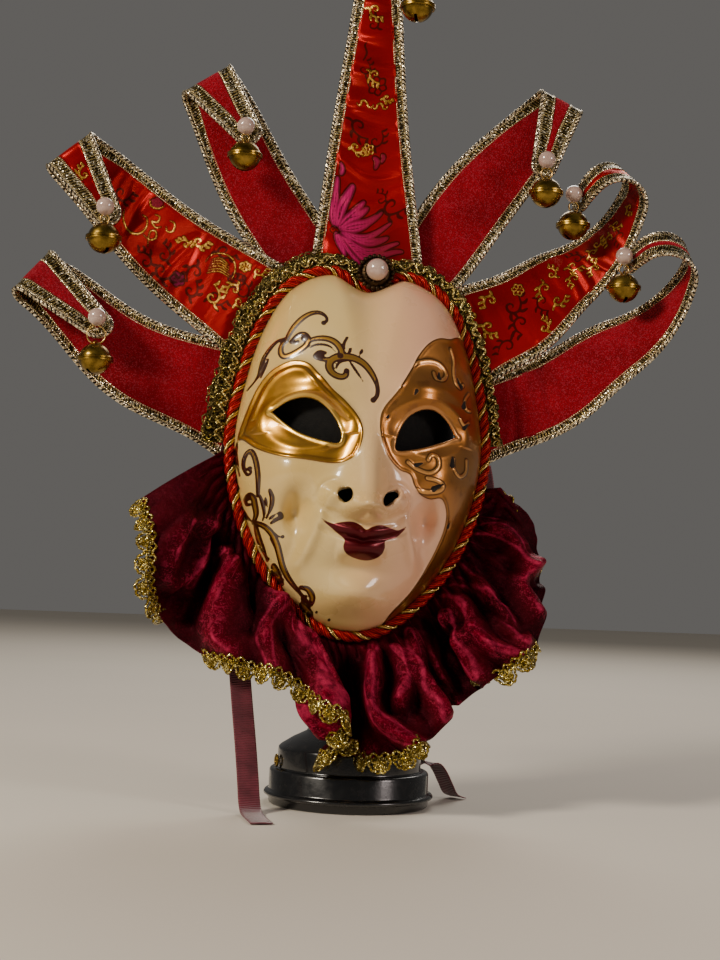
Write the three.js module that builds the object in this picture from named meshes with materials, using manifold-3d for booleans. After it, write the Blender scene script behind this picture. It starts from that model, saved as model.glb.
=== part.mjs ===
// A jester mask of the Venetian kind on its black display stand, in millimetres, +Z up.
// The mask faces -Y. The origin is the centre of the stand's underside.
import * as THREE from "three";
import { mergeVertices } from "three/addons/utils/BufferGeometryUtils.js";
import Module from "manifold-3d";

const wasm = await Module();
wasm.setup();
const degrees = Math.PI / 180;

// Where the mask sits on the stand: the middle of its rim plane, leaning back and a little askew.
const maskCentre = [-4, -15, 218];
const maskLean = 5;
const maskSkew = 1.4;

// The face. Right half of the rim, from the dip at the top of the forehead to the chin.
const rimHalf = [
  [0, 107], [24, 116.5], [50, 104], [66.5, 75.5], [76, 40],
  [80.5, 2], [73.5, -37], [56, -74], [27, -104.5],
];
const rimChin = [0, -113.5];
const faceDepth = 56;
const faceWall = 3;
const eyeHalf = [
  [55.5, 7.5], [46, 19], [36.5, 23.3], [24, 17.5],
  [17.5, 7], [17, -1.9], [30, -1.2], [44, 3.2],
];
const nostril = { u: 13.4, w: -35.5, radius: 4 };
const nose = { top: 26, tip: -31, base: -50, height: 26, bridgeWidth: 7, tipWidth: 13 };
// Soft hills and hollows of the face: place, half-widths and height.
const faceForms = [
  { u: 36, w: 34, su: 19, sw: 9, height: 6 }, // brow
  { u: 36, w: 10, su: 18, sw: 10, height: -6 }, // eye socket
  { u: 48, w: -22, su: 15, sw: 17, height: 6 }, // cheek
  { u: 39, w: -44, su: 7, sw: 12, height: -7 }, // hollow beside the smile
  { u: 19, w: -35, su: 7.5, sw: 7.5, height: 9 }, // wing of the nose
  { u: 0, w: -57, su: 24, sw: 13, height: 8 }, // mound of the mouth
  { u: 0, w: -53, su: 17, sw: 3.2, height: 2.2 }, // upper lip
  { u: 0, w: -65, su: 11, sw: 4.2, height: 3 }, // lower lip
  { u: 0, w: -75, su: 15, sw: 4.5, height: -3 }, // groove under the lip
  { u: 0, w: -92, su: 17, sw: 10, height: 9 }, // chin
];

// Trim round the face.
const ropeRadius = 3.8;
const laceBand = { widths: [8.5, 14], thickness: 2.2, from: 0.245, to: -0.26, back: [-1, -3.6] };
const crown = { u: 4.5, w: 116, radius: 10.4, height: 4.2, front: -8.2 };
const crownPearlRadius = 7;
const crownSeat = 5.6;

// The rays of the cap: stiffened strips edged with braid, each folded or curled over at its end.
const stripThickness = 1.6;
const braid = { width: 7.2, thickness: 3 };
const tipRound = 4.4;
const rimCover = 2;
const frontLayer = 2.6;
const backLayer = 8;
const rays = {
  left_low: {
    u: -78.6, w: 28.7, heading: 152.6, straight: 141.4, rootWidth: 70, midWidth: 61, foldWidth: 41,
    tipWidth: 17.5, skew: 7.1, radius: 6.7, turn: 173, tail: 56, twist: 18, bow: 10.3, lean: 5.3,
    layer: backLayer, drop: 25.5, cloth: "velvet",
  },
  left_mid: {
    u: -61.5, w: 82.7, heading: 144.9, straight: 153.7, rootWidth: 72, midWidth: 59, foldWidth: 39.4,
    tipWidth: 16.5, skew: 10.9, radius: 6.1, turn: 173.7, tail: 49, twist: 3.4, bow: 4.9, lean: 6.9,
    layer: frontLayer, drop: 19.6, cloth: "brocade",
  },
  left_top: {
    u: -29.7, w: 109, heading: 123.2, straight: 141.9, rootWidth: 49, midWidth: 55.7, foldWidth: 39.8,
    tipWidth: 16, skew: -2.8, radius: 5.7, turn: 173.6, tail: 45.3, twist: -0.9, bow: 3.9, lean: 6.4,
    layer: backLayer, drop: 19, cloth: "velvet",
  },
  centre: {
    u: 0.3, w: 106.1, heading: 91.3, straight: 215.9, rootWidth: 76, midWidth: 45, foldWidth: 26.6,
    tipWidth: 15, skew: -15.3, radius: 12, turn: 168, tail: 46, twist: -9.3, bow: 1.7, lean: 6.3,
    layer: frontLayer, drop: 20, cloth: "brocade",
  },
  right_top: {
    u: 31.1, w: 114.5, heading: 54.9, straight: 147.6, rootWidth: 46, midWidth: 65, foldWidth: 34,
    tipWidth: 15, skew: -10.7, radius: 6, turn: 173.2, tail: 50, twist: -1.6, bow: 3.5, lean: 4.6, lift: 4,
    layer: 8.8, drop: 21.5, cloth: "velvet",
  },
  right_mid: {
    u: 66.9, w: 81.2, heading: 35.7, straight: 82.6, rootWidth: 67.7, midWidth: 56, foldWidth: 36.2,
    tipWidth: 17, skew: 8.2, easeLength: 63.3, easeTurn: 45.7, radius: 15.2, turn: 168.4, tail: 22.4,
    tailTurn: 18, twist: -47, bow: -4.1, lean: 1, lift: -6, layer: frontLayer, drop: 20.5, cloth: "brocade",
  },
  right_low: {
    u: 75.6, w: 26, heading: 31.6, straight: 106.3, rootWidth: 50.3, midWidth: 61.4, foldWidth: 27,
    tipWidth: 17.5, skew: 16.4, easeLength: 60, easeTurn: 53.3, radius: 15.2, turn: 170, tail: 24.4,
    tailTurn: 11.7, twist: -39, bow: -5.3, lean: 4.5, lift: 7.5, layer: backLayer, drop: 20.5, cloth: "velvet",
  },
};
const pearlRadius = 5.5;
const pearlInset = 9;
const bell = { radius: 9.9, belt: 11, beltHeight: 3.2, top: 9.5, slotWidth: 2, slotDepth: 3 };
const linkWire = 0.6;
const touchGap = 0.35;

// The ruff: gathered on the rim from ear to ear under the chin. Its hem is [u, w, forward].
const ruffFrom = 0.733;
const ruffTo = 0.287;
const ruffHem = [
  [-131, -37, 5], [-123, -64, 25], [-121, -91, 20], [-112, -111, -3], [-92, -127, 5],
  [-63, -134, 25], [-30, -144, 30], [-8, -172, 36], [-5, -182, 26], [8, -184, 21],
  [20, -185, 26], [38, -179, 36], [57, -164, 30], [64, -152, 4], [75, -147, 4],
  [90, -131, 28], [113, -113, 25], [121, -84, 5], [122, -61, -4], [111, -31, -4], [91, -15, 1],
];
const ruffThickness = 2.4;
const ruffBulge = 9;
const ruffSteps = 42;
const ruffRows = 3;
const lace = { reach: 15, scallop: 5, thickness: 1.2, gap: 1.8, pitch: 16.6 };

// Flat tie ribbons: they leave the rim behind the ruff and hang to what the stand stands on.
const ribbon = { width: 13, thickness: 0.9, steps: 32 };
const ribbonLeft = [
  [-82, -13.3, 224], [-83, -11.6, 216], [-84, -9.3, 209], [-85, -7, 199], [-83, -6, 170], [-79.5, -8, 140], [-75.5, -13, 110],
  [-72.5, -21, 85], [-70, -29, 62], [-67.5, -37, 40], [-65.5, -44, 20], [-64.5, -48.5, 8],
  [-63.5, -54, 2], [-62.5, -64, 0.8], [-61, -78, 0.8], [-59, -93, 0.8],
];
const ribbonRight = [
  [75, -13.8, 214], [77, -11.6, 207], [79, -7.5, 199], [80, -2, 188], [80, 10, 165], [74, 24, 135], [64, 32, 105],
  [54, 34, 78], [49, 30, 58], [47, 24, 40], [47.5, 21, 27], [51, 20, 23.6],
  [57, 20.5, 23.6], [61.5, 22, 19], [66, 25, 11], [70.5, 29, 3.6], [77, 34, 0.7],
];

// The stand, turned profile: [radius, height].
const standProfile = [
  [0, 0], [50, 0], [50.4, 4.8], [53.2, 5.8], [52.8, 7.6], [50, 8.8], [50, 20.6],
  [49, 21.6], [45, 21.8], [45, 33.6], [43, 36], [27.5, 44.6], [27, 45.6], [0, 45.6],
];
const neckPost = { bottomRadius: 26, topRadius: 18, bottom: 45.9, top: 132 };
const headForm = {
  bottom: 132.3, top: 318, widest: 236, halfWidth: 62, depthRatio: 1.17, y: 9, footRadius: 25,
};
const standCatch = { radius: 3.2, wire: 0.9, fromAxis: 46.6, height: 26.3, angle: 188 };

const finishes = {
  porcelain: { color: 0xe9dcc0, roughness: 0.22, metalness: 0 },
  rope: { color: 0xb01d18, roughness: 0.5, metalness: 0.1 },
  goldLace: { color: 0xa8873c, roughness: 0.45, metalness: 0.7 },
  silverBraid: { color: 0xb7a98c, roughness: 0.4, metalness: 0.7 },
  velvet: { color: 0xa5141d, roughness: 0.9, metalness: 0 },
  brocade: { color: 0xc01f1d, roughness: 0.4, metalness: 0 },
  ruffVelvet: { color: 0x5c0a16, roughness: 0.85, metalness: 0 },
  ribbonWeave: { color: 0x5a1a24, roughness: 0.7, metalness: 0 },
  pearl: { color: 0xe6d8cd, roughness: 0.25, metalness: 0 },
  brass: { color: 0xb08a3a, roughness: 0.25, metalness: 1 },
  goldWire: { color: 0xd0a860, roughness: 0.3, metalness: 1 },
  bronze: { color: 0x4a3524, roughness: 0.45, metalness: 0.8 },
  black: { color: 0x101010, roughness: 0.3, metalness: 0.1 },
};
const material = (name) => new THREE.MeshStandardMaterial(finishes[name]);
const clamp01 = (x) => Math.min(Math.max(x, 0), 1);
const smooth = (x) => clamp01(x) ** 2 * (3 - 2 * clamp01(x));

// Closed meshes and booleans

function bareGeometry(positions, index) {
  const geometry = new THREE.BufferGeometry();
  geometry.setAttribute("position", new THREE.Float32BufferAttribute(positions, 3));
  geometry.setIndex(index);
  return geometry;
}

function toSolid(geometry) {
  const bare = geometry.clone();
  bare.deleteAttribute("normal");
  bare.deleteAttribute("uv");
  const merged = mergeVertices(bare, 1e-3);
  return new wasm.Manifold(
    new wasm.Mesh({
      numProp: 3,
      vertProperties: new Float32Array(merged.attributes.position.array),
      triVerts: new Uint32Array(merged.index.array),
    }),
  );
}

function fromSolid(solid) {
  const mesh = solid.getMesh();
  const positions = [];
  for (let i = 0; i < mesh.numVert; i++) {
    positions.push(...mesh.vertProperties.subarray(i * mesh.numProp, i * mesh.numProp + 3));
  }
  return bareGeometry(positions, Array.from(mesh.triVerts));
}

const cut = (geometry, ...tools) =>
  fromSolid(tools.reduce((solid, tool) => solid.subtract(toSolid(tool)), toSolid(geometry)));

// Skins a row of closed rings of points, with a flat cap on each end; each ring runs
// anticlockwise for someone looking back along the row.
function loft(rings) {
  const count = rings[0].length;
  const positions = rings.flat().flatMap((p) => p.toArray());
  const index = [];
  for (let i = 0; i + 1 < rings.length; i++) {
    for (let j = 0; j < count; j++) {
      const a = i * count + j;
      const b = i * count + ((j + 1) % count);
      index.push(a, b, a + count, b, b + count, a + count);
    }
  }
  const last = (rings.length - 1) * count;
  for (let j = 1; j + 1 < count; j++) {
    index.push(0, j + 1, j, last, last + j, last + j + 1);
  }
  return bareGeometry(positions, index);
}

// A loft that comes out inside out has its faces turned round.
function facingOut(geometry) {
  const p = geometry.attributes.position;
  const index = geometry.index.array;
  const [a, b, c] = [new THREE.Vector3(), new THREE.Vector3(), new THREE.Vector3()];
  let volume = 0;
  for (let i = 0; i < index.length; i += 3) {
    a.fromBufferAttribute(p, index[i]);
    b.fromBufferAttribute(p, index[i + 1]);
    c.fromBufferAttribute(p, index[i + 2]);
    volume += a.dot(b.cross(c));
  }
  if (volume < 0) {
    const turned = [];
    for (let i = 0; i < index.length; i += 3) turned.push(index[i], index[i + 2], index[i + 1]);
    geometry.setIndex(turned);
  }
  return geometry;
}

// The face

const rimPoints = [
  ...rimHalf,
  rimChin,
  ...rimHalf.slice(1).reverse().map(([u, w]) => [-u, w]),
].map(([u, w]) => new THREE.Vector3(u, 0, w));
const rim = new THREE.CatmullRomCurve3(rimPoints, true, "catmullrom", 0.5);
rim.arcLengthDivisions = 800;
rim.updateArcLengths();

// A point beside the rim: outward is positive. Along is 0 at the dip and runs by the right ear.
function besideRim(along, outward, y) {
  const t = ((along % 1) + 1) % 1;
  const tangent = rim.getTangentAt(t);
  const outside = new THREE.Vector3(-tangent.z, 0, tangent.x);
  if (outside.dot(rim.getPointAt((t + 0.002) % 1)) < 0) outside.negate();
  return rim.getPointAt(t).addScaledVector(outside, outward).setY(y);
}

function noseHeight(u, w) {
  const rise = clamp01((nose.top - w) / (nose.top - nose.tip));
  const fall = clamp01((nose.tip - w) / (nose.tip - nose.base));
  const ridge = w > nose.tip ? rise ** 1.5 : Math.cos((Math.PI / 2) * fall) ** 2;
  const width = nose.bridgeWidth + (nose.tipWidth - nose.bridgeWidth) * rise;
  return nose.height * ridge * Math.exp(-((u / width) ** 2));
}

// How far the face stands in front of its rim at (u, w); rho is 0 in the middle and 1 at the rim.
function faceHeight(u, w, rho) {
  const dome = faceDepth * Math.sqrt(Math.max(1 - rho ** 2.2, 0));
  const forms = faceForms.reduce((sum, f) => {
    const bump = (side) =>
      f.height * Math.exp(-(((u - side * f.u) / f.su) ** 2) - ((w - f.w) / f.sw) ** 2);
    return sum + bump(1) + (f.u ? bump(-1) : 0);
  }, 0);
  return dome + (noseHeight(u, w) + forms) * (1 - rho ** 8);
}

function faceShell() {
  const rings = 13;
  const evenRings = 9;
  const around = 30;
  const spread = (i) =>
    i <= evenRings ? 0.097 * i : 1 - 0.127 * ((rings - i) / (rings - evenRings)) ** 2;
  const edge = Array.from({ length: around }, (_, j) =>
    besideRim(j / around, -ropeRadius - 2 * touchGap, 0),
  );
  const outer = [new THREE.Vector3(0, -faceHeight(0, 0, 0), 0)];
  for (let i = 1; i <= rings; i++) {
    for (const e of edge) {
      const [u, w] = [e.x * spread(i), e.z * spread(i)];
      outer.push(new THREE.Vector3(u, -faceHeight(u, w, spread(i)), w));
    }
  }
  const index = [];
  for (let j = 0; j < around; j++) {
    const next = (j + 1) % around;
    index.push(0, 1 + j, 1 + next);
    for (let i = 0; i + 1 < rings; i++) {
      const [a, b] = [1 + i * around + j, 1 + i * around + next];
      index.push(a, a + around, b, b, a + around, b + around);
    }
  }
  const skin = bareGeometry(outer.flatMap((p) => p.toArray()), index);
  skin.computeVertexNormals();
  const normals = skin.attributes.normal;
  const firstRim = 1 + (rings - 1) * around;
  // The wall goes behind the skin; at the rim it lies flat in the rim plane.
  const outwardSign = normals.getY(0) < 0 ? 1 : -1;
  const inner = outer.map((p, i) => {
    const n = new THREE.Vector3().fromBufferAttribute(normals, i).multiplyScalar(outwardSign);
    if (i >= firstRim) n.setY(0).normalize();
    return p.clone().addScaledVector(n, -faceWall);
  });
  const total = outer.length;
  const walls = index.slice();
  for (let i = 0; i < index.length; i += 3) {
    walls.push(total + index[i], total + index[i + 2], total + index[i + 1]);
  }
  for (let j = 0; j < around; j++) {
    const [a, b] = [firstRim + j, firstRim + ((j + 1) % around)];
    walls.push(a, a + total, b, b, a + total, b + total);
  }
  const shell = bareGeometry([...outer, ...inner].flatMap((p) => p.toArray()), walls);
  return cut(facingOut(shell), ...[1, -1].map(eyeTool), ...[1, -1].map(nostrilTool));
}

// A prism through the face along Y from an outline given as [u, w].
function prism(points, near, far) {
  const shape = new THREE.Shape(points.map(([u, w]) => new THREE.Vector2(u, w)));
  const body = new THREE.ExtrudeGeometry(shape, { depth: far - near, bevelEnabled: false });
  return body.rotateX(Math.PI / 2).translate(0, far, 0);
}

function eyeTool(side) {
  const corners = eyeHalf.map(([u, w]) => new THREE.Vector2(side * u, w));
  const loop = new THREE.SplineCurve([...corners, corners[0]]);
  const points = loop.getPoints(16).slice(0, -1).map((p) => [p.x, p.y]);
  return prism(points, -90, -20);
}

function nostrilTool(side) {
  const hole = new THREE.CylinderGeometry(nostril.radius, nostril.radius, 60, 8);
  return hole.translate(side * nostril.u, -75, nostril.w);
}

// Trim on the rim

function rimRope() {
  const middle = Array.from({ length: 44 }, (_, i) => besideRim(i / 44, 0, -ropeRadius - touchGap));
  const path = new THREE.CatmullRomCurve3(middle, true);
  return new THREE.TubeGeometry(path, 44, ropeRadius, 6, true);
}

function rimLace() {
  const steps = 32;
  const { widths, thickness, from, to, back } = laceBand;
  const inside = ropeRadius + touchGap;
  const rings = Array.from({ length: steps + 1 }, (_, i) => {
    const along = from + ((to - from) * i) / steps;
    const width = widths[0] + ((widths[1] - widths[0]) * i) / steps;
    return [
      besideRim(along, inside, back[0] - thickness),
      besideRim(along, inside + width, back[1] - thickness),
      besideRim(along, inside + width, back[1]),
      besideRim(along, inside, back[0]),
    ];
  });
  return facingOut(loft(rings));
}

function crownSetting() {
  const seat = crownSeat;
  const profile = [
    [0, 0], [crown.radius, 0], [crown.radius, 2], [crown.radius - 2, crown.height],
    [seat + 0.6, crown.height], [seat, 1.2], [0, 1.2],
  ].map(([r, h]) => new THREE.Vector2(r, h));
  return new THREE.LatheGeometry(profile, 16)
    .rotateX(Math.PI)
    .translate(crown.u, crown.front, crown.w);
}

// The strips

// The curl of a strip, seen from its side: how far along and up a point is, and its slope there.
function curlAt(distance, ray) {
  const arcs = [
    [ray.easeLength ?? 0, (ray.easeTurn ?? 0) * degrees],
    [ray.radius * ray.turn * degrees, ray.turn * degrees],
    [ray.tail * 1.5, (ray.tailTurn ?? 0) * 1.5 * degrees],
  ];
  let [along, up, slope, left] = [Math.min(distance, 0), 0, 0, Math.max(distance, 0)];
  for (const [length, turn] of arcs) {
    const step = Math.min(left, length);
    left -= step;
    if (step === 0) continue;
    const bend = turn / length;
    if (bend === 0) {
      along += step * Math.cos(slope);
      up += step * Math.sin(slope);
    } else {
      along += (Math.sin(slope + bend * step) - Math.sin(slope)) / bend;
      up += (Math.cos(slope) - Math.cos(slope + bend * step)) / bend;
      slope += bend * step;
    }
  }
  return [along, up, slope];
}

const curlStart = (ray) => ray.straight + (ray.easeLength ?? 0);
const stripLength = (ray) => curlStart(ray) + ray.radius * ray.turn * degrees + ray.tail;

function stripWidth(ray, s) {
  const t = clamp01(s / curlStart(ray));
  const body =
    ray.rootWidth * (1 - t) ** 2 + 2 * ray.midWidth * t * (1 - t) + ray.foldWidth * t ** 2;
  const past = clamp01((s - curlStart(ray)) / (stripLength(ray) - curlStart(ray)));
  return s > curlStart(ray) ? ray.foldWidth + (ray.tipWidth - ray.foldWidth) * past : body;
}

// A place on a strip, in the mask's frame: s along it, b across it and off above its face.
function stripPoint(ray, s, b, off) {
  const skew = ray.skew * degrees;
  const a = s - ray.straight;
  const [along, up, slope] = curlAt(a * Math.cos(skew) - b * Math.sin(skew), ray);
  const side = a * Math.sin(skew) + b * Math.cos(skew);
  const lifted = along - off * Math.sin(slope);
  const height = up + off * Math.cos(slope);
  const forward = lifted * Math.cos(skew) + side * Math.sin(skew) + ray.straight;
  const across = side * Math.cos(skew) - lifted * Math.sin(skew);
  const twist = ray.twist * degrees * smooth(s / curlStart(ray));
  const bow = ray.bow * Math.sin(Math.PI * clamp01(s / ray.straight)) ** 2;
  const sideways = across * Math.cos(twist) - height * Math.sin(twist) + bow;
  const outOfPlane = across * Math.sin(twist) + height * Math.cos(twist);
  const lean = ray.lean * degrees;
  const reach = forward * Math.cos(lean) - outOfPlane * Math.sin(lean);
  const lift = (ray.lift ?? 0) * clamp01(forward / ray.straight) ** 2;
  const towards = forward * Math.sin(lean) + outOfPlane * Math.cos(lean) + lift;
  const [c, n] = [Math.cos(ray.heading * degrees), Math.sin(ray.heading * degrees)];
  return new THREE.Vector3(
    ray.u + c * reach - n * sideways,
    ray.layer - towards,
    ray.w + n * reach + c * sideways,
  );
}

// Stations along a strip: a few on the straight, close ones round the curl, few on the tail.
const spacedUntil = (ray) => ray.straight - 12;

function stations(ray, end) {
  const list = [0];
  const add = (from, to, count) => {
    for (let i = 1; i <= count; i++) list.push(from + ((to - from) * i) / count);
  };
  const curl = ray.radius * ray.turn * degrees;
  add(0, spacedUntil(ray), 3);
  add(spacedUntil(ray), curlStart(ray), ray.easeLength ? 4 : 1);
  add(curlStart(ray), curlStart(ray) + curl, 5);
  add(curlStart(ray) + curl, end, 2);
  return list;
}

// The rim's radius in each direction, to find where a strip comes out from behind it.
const rimAngles = Array.from({ length: 361 }, (_, i) => {
  const p = besideRim(i / 360, -rimCover, 0);
  return { angle: Math.atan2(p.x, p.z), radius: Math.hypot(p.x, p.z) };
}).slice(0, 360).sort((a, b) => a.angle - b.angle);

function insideRim(p) {
  const angle = Math.atan2(p.x, p.z);
  const next = rimAngles.findIndex((r) => r.angle > angle);
  const edge = rimAngles[next < 0 ? 0 : next];
  return Math.hypot(p.x, p.z) < edge.radius;
}

// Where the line at b across the strip passes the rim.
function rootOf(ray, b) {
  let [inner, outer] = [-15, 40];
  for (let i = 0; i < 16; i++) {
    const middle = (inner + outer) / 2;
    if (insideRim(stripPoint(ray, middle, b, 0))) inner = middle;
    else outer = middle;
  }
  return outer;
}

// The first stations are drawn back to the rim, each line across the strip by its own amount.
function pointOnStrip(ray, s, b, off) {
  const end = spacedUntil(ray);
  const root = s < end ? rootOf(ray, b) : 0;
  return stripPoint(ray, s < end ? root + (s / end) * (end - root) : s, b, off);
}

function stripPanel(ray) {
  const end = stripLength(ray) - ray.tipWidth / 2 - 1;
  const half = stripThickness / 2;
  const rings = stations(ray, end).map((s) => {
    const b = Math.max(stripWidth(ray, s) / 2 - braid.width - touchGap, 0.45);
    return [[b, half], [b, -half], [-b, -half], [-b, half]].map(([across, off]) =>
      pointOnStrip(ray, s, across, off),
    );
  });
  return facingOut(loft(rings));
}

// The braid runs up one edge, round the tip and back down the other edge.
function stripBraid(ray) {
  const turnAt = stripLength(ray) - tipRound - braid.width / 2;
  const half = braid.thickness / 2;
  const wide = braid.width / 2;
  const up = stations(ray, turnAt);
  const edgeRing = (s, side) => {
    const outer = stripWidth(ray, s) / 2;
    const inner = outer - braid.width;
    return [[outer, half], [inner, half], [inner, -half], [outer, -half]].map(([b, off]) =>
      pointOnStrip(ray, s, side * b, off),
    );
  };
  const middle = stripWidth(ray, turnAt) / 2 - wide;
  const roundRing = (angle) => {
    const [c, n] = [Math.cos(angle), Math.sin(angle)];
    return [[wide, half], [-wide, half], [-wide, -half], [wide, -half]].map(([r, off]) => {
      const radius = middle + r;
      return stripPoint(ray, turnAt + radius * n, radius * c, off);
    });
  };
  const rings = [
    ...up.map((s) => edgeRing(s, 1)),
    ...[0.25, 0.5, 0.75].map((part) => roundRing(Math.PI * part)),
    ...up.reverse().map((s) => edgeRing(s, -1)),
  ];
  return facingOut(loft(rings));
}

// Bells, pearls and links

function bellBody() {
  const { radius, belt, beltHeight, slotWidth, slotDepth } = bell;
  const arc = (from, to, steps, lift) =>
    Array.from({ length: steps + 1 }, (_, i) => {
      const angle = (from + ((to - from) * i) / steps) * degrees;
      return new THREE.Vector2(radius * Math.cos(angle), radius * Math.sin(angle) + lift);
    });
  const half = beltHeight / 2;
  const profile = [
    ...arc(-90, -14, 2, -half + 2),
    new THREE.Vector2(belt, -half),
    new THREE.Vector2(belt, half),
    ...arc(14, 90, 2, half - 2),
  ];
  profile[0].x = 0;
  profile[profile.length - 1].x = 0;
  const slot = new THREE.BoxGeometry(slotWidth, 40, slotDepth);
  const body = new THREE.LatheGeometry(profile, 10).rotateX(Math.PI / 2);
  return cut(body, slot.translate(0, 0, slotDepth / 2 - bell.top));
}

function link(length) {
  const outer = length / 2;
  const wire = Math.min(linkWire, outer / 3);
  return new THREE.TorusGeometry(outer - wire, wire, 3, 8).rotateX(Math.PI / 2);
}

// The ruff and its lace

const seamAt = (along, outward, y) =>
  besideRim(ruffFrom + (ruffTo - ruffFrom) * along, outward, y);
const hemCurve = new THREE.CatmullRomCurve3(
  ruffHem.map(([u, w, forward]) => new THREE.Vector3(u, -forward, w)),
);
const ruffPoint = (along, down) => {
  const seam = seamAt(along, ropeRadius + ruffThickness / 2 + touchGap, -0.5);
  const hem = hemCurve.getPoint(along);
  const point = seam.clone().lerp(hem, down);
  const away = new THREE.Vector3(hem.x - seam.x, 0, hem.z - seam.z).normalize();
  const bulge = ruffBulge * Math.sin(Math.PI * down);
  return point.addScaledVector(away, bulge * 0.3).add(new THREE.Vector3(0, -bulge * 0.6, 0));
};

// A sheet over a grid of points, given a thickness along its own normals and closed all round.
function thickSheet(grid, thickness) {
  const [rows, columns] = [grid.length, grid[0].length];
  const index = [];
  for (let i = 0; i + 1 < rows; i++) {
    for (let j = 0; j + 1 < columns; j++) {
      const a = i * columns + j;
      index.push(a, a + columns, a + 1, a + 1, a + columns, a + columns + 1);
    }
  }
  const points = grid.flat();
  const skin = bareGeometry(points.flatMap((p) => p.toArray()), index);
  skin.computeVertexNormals();
  const offset = (sign) =>
    points.map((p, i) => {
      const n = new THREE.Vector3().fromBufferAttribute(skin.attributes.normal, i);
      return p.clone().addScaledVector(n, (sign * thickness) / 2);
    });
  const total = points.length;
  const faces = index.slice();
  for (let i = 0; i < index.length; i += 3) {
    faces.push(total + index[i], total + index[i + 2], total + index[i + 1]);
  }
  const border = [];
  for (let j = 0; j < columns; j++) border.push(j);
  for (let i = 1; i < rows; i++) border.push(i * columns + columns - 1);
  for (let j = columns - 2; j >= 0; j--) border.push((rows - 1) * columns + j);
  for (let i = rows - 2; i > 0; i--) border.push(i * columns);
  border.forEach((a, k) => {
    const b = border[(k + 1) % border.length];
    faces.push(a, b, a + total, b, b + total, a + total);
  });
  return facingOut(bareGeometry([...offset(1), ...offset(-1)].flatMap((p) => p.toArray()), faces));
}

function ruff() {
  const columns = Array.from({ length: ruffSteps + 1 }, (_, j) => j / ruffSteps);
  const tucked = columns.map((along) => seamAt(along, -1, ruffThickness / 2 + touchGap));
  const rows = Array.from({ length: ruffRows + 1 }, (_, i) =>
    columns.map((along) => ruffPoint(along, i / ruffRows)),
  );
  return thickSheet([tucked, ...rows], ruffThickness);
}

// A point of the ruff's faceted solid, between its two nearest columns.
function onFacets(along, down) {
  const column = Math.min(Math.floor(along * ruffSteps), ruffSteps - 1);
  const before = ruffPoint(column / ruffSteps, down);
  return before.lerp(ruffPoint((column + 1) / ruffSteps, down), along * ruffSteps - column);
}

function ruffLace() {
  const scallops = Math.round(hemCurve.getLength() / lace.pitch);
  const steps = scallops * 2;
  const grid = [0, 1].map((row) =>
    Array.from({ length: steps + 1 }, (_, j) => {
      const along = j / steps;
      const hem = onFacets(along, 1);
      const fall = hem.clone().sub(onFacets(along, 0.8));
      const edge = onFacets(Math.min(along + 0.01, 1), 1).sub(onFacets(Math.max(along - 0.01, 0), 1));
      fall.addScaledVector(edge.normalize(), -fall.dot(edge)).normalize();
      // Where the hem is turned back the lace goes behind the ruff.
      const shown = smooth((-hem.y - 6) / 12);
      const start = hem.addScaledVector(fall, lace.gap);
      const direction = fall.lerp(new THREE.Vector3(0, 1, 0), (1 - shown) * 0.9).normalize();
      const reach = lace.reach - (j % 2 ? 0 : lace.scallop);
      return start.addScaledVector(direction, row ? reach : 0);
    }),
  );
  return thickSheet(grid, lace.thickness);
}

// Ribbons: a flat section along its route; its width turns from along X to the end's direction.
function tieRibbon(route, endAcross) {
  const path = new THREE.CatmullRomCurve3(route.map((p) => new THREE.Vector3(...p)));
  const rings = Array.from({ length: ribbon.steps + 1 }, (_, i) => {
    const t = i / ribbon.steps;
    const tangent = path.getTangentAt(t);
    const across = new THREE.Vector3(1, 0, 0).lerp(new THREE.Vector3(...endAcross), smooth(t * 1.4));
    across.addScaledVector(tangent, -across.dot(tangent)).normalize();
    const normal = new THREE.Vector3().crossVectors(tangent, across);
    const [w, h] = [ribbon.width / 2, ribbon.thickness / 2];
    return [[w, h], [-w, h], [-w, -h], [w, -h]].map(([a, b]) =>
      path.getPointAt(t).addScaledVector(across, a).addScaledVector(normal, b),
    );
  });
  return facingOut(loft(rings));
}

// The stand

const lathe = (profile, sides) =>
  new THREE.LatheGeometry(profile.map(([r, h]) => new THREE.Vector2(r, h)), sides).rotateX(
    Math.PI / 2,
  );

function neck() {
  const { bottomRadius, topRadius, bottom, top } = neckPost;
  return lathe([[0, bottom], [bottomRadius, bottom], [topRadius, top], [0, top]], 24);
}

function head() {
  const { bottom, top, widest, halfWidth, depthRatio, y, footRadius } = headForm;
  const steps = 10;
  const profile = [[0, bottom]];
  for (let i = 0; i <= steps; i++) {
    const z = bottom + ((top - bottom) * i) / steps;
    const below = z < widest;
    const t = below ? (widest - z) / (widest - bottom) : (z - widest) / (top - widest);
    const jaw = footRadius + (halfWidth - footRadius) * Math.cos((Math.PI / 2) * t) ** 0.8;
    const dome = halfWidth * Math.sqrt(Math.max(1 - t ** 2.2, 0));
    profile.push([i === steps ? 0 : below ? jaw : dome, z]);
  }
  const form = lathe(profile, 20);
  return form.scale(1, depthRatio, 1).translate(maskCentre[0], y, 0);
}

// A small ring that stands on the ledge of the base, flat against the upper drum.
function brassCatch() {
  const { radius, wire, fromAxis, height, angle } = standCatch;
  return new THREE.TorusGeometry(radius, wire, 4, 10)
    .rotateX(Math.PI / 2)
    .rotateZ(Math.PI / 2)
    .translate(fromAxis, 0, height)
    .rotateZ(angle * degrees);
}

// Assembly

const jesterMask = new THREE.Group();
const mask = new THREE.Group();
mask.position.set(...maskCentre);
mask.rotation.set(-maskLean * degrees, maskSkew * degrees, 0);
jesterMask.add(mask);
mask.updateMatrixWorld(true);

function add(group, name, geometry, finish, place = [0, 0, 0]) {
  const mesh = new THREE.Mesh(geometry, material(finish));
  mesh.name = name;
  mesh.position.set(...place);
  group.add(mesh);
  return mesh;
}

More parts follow.
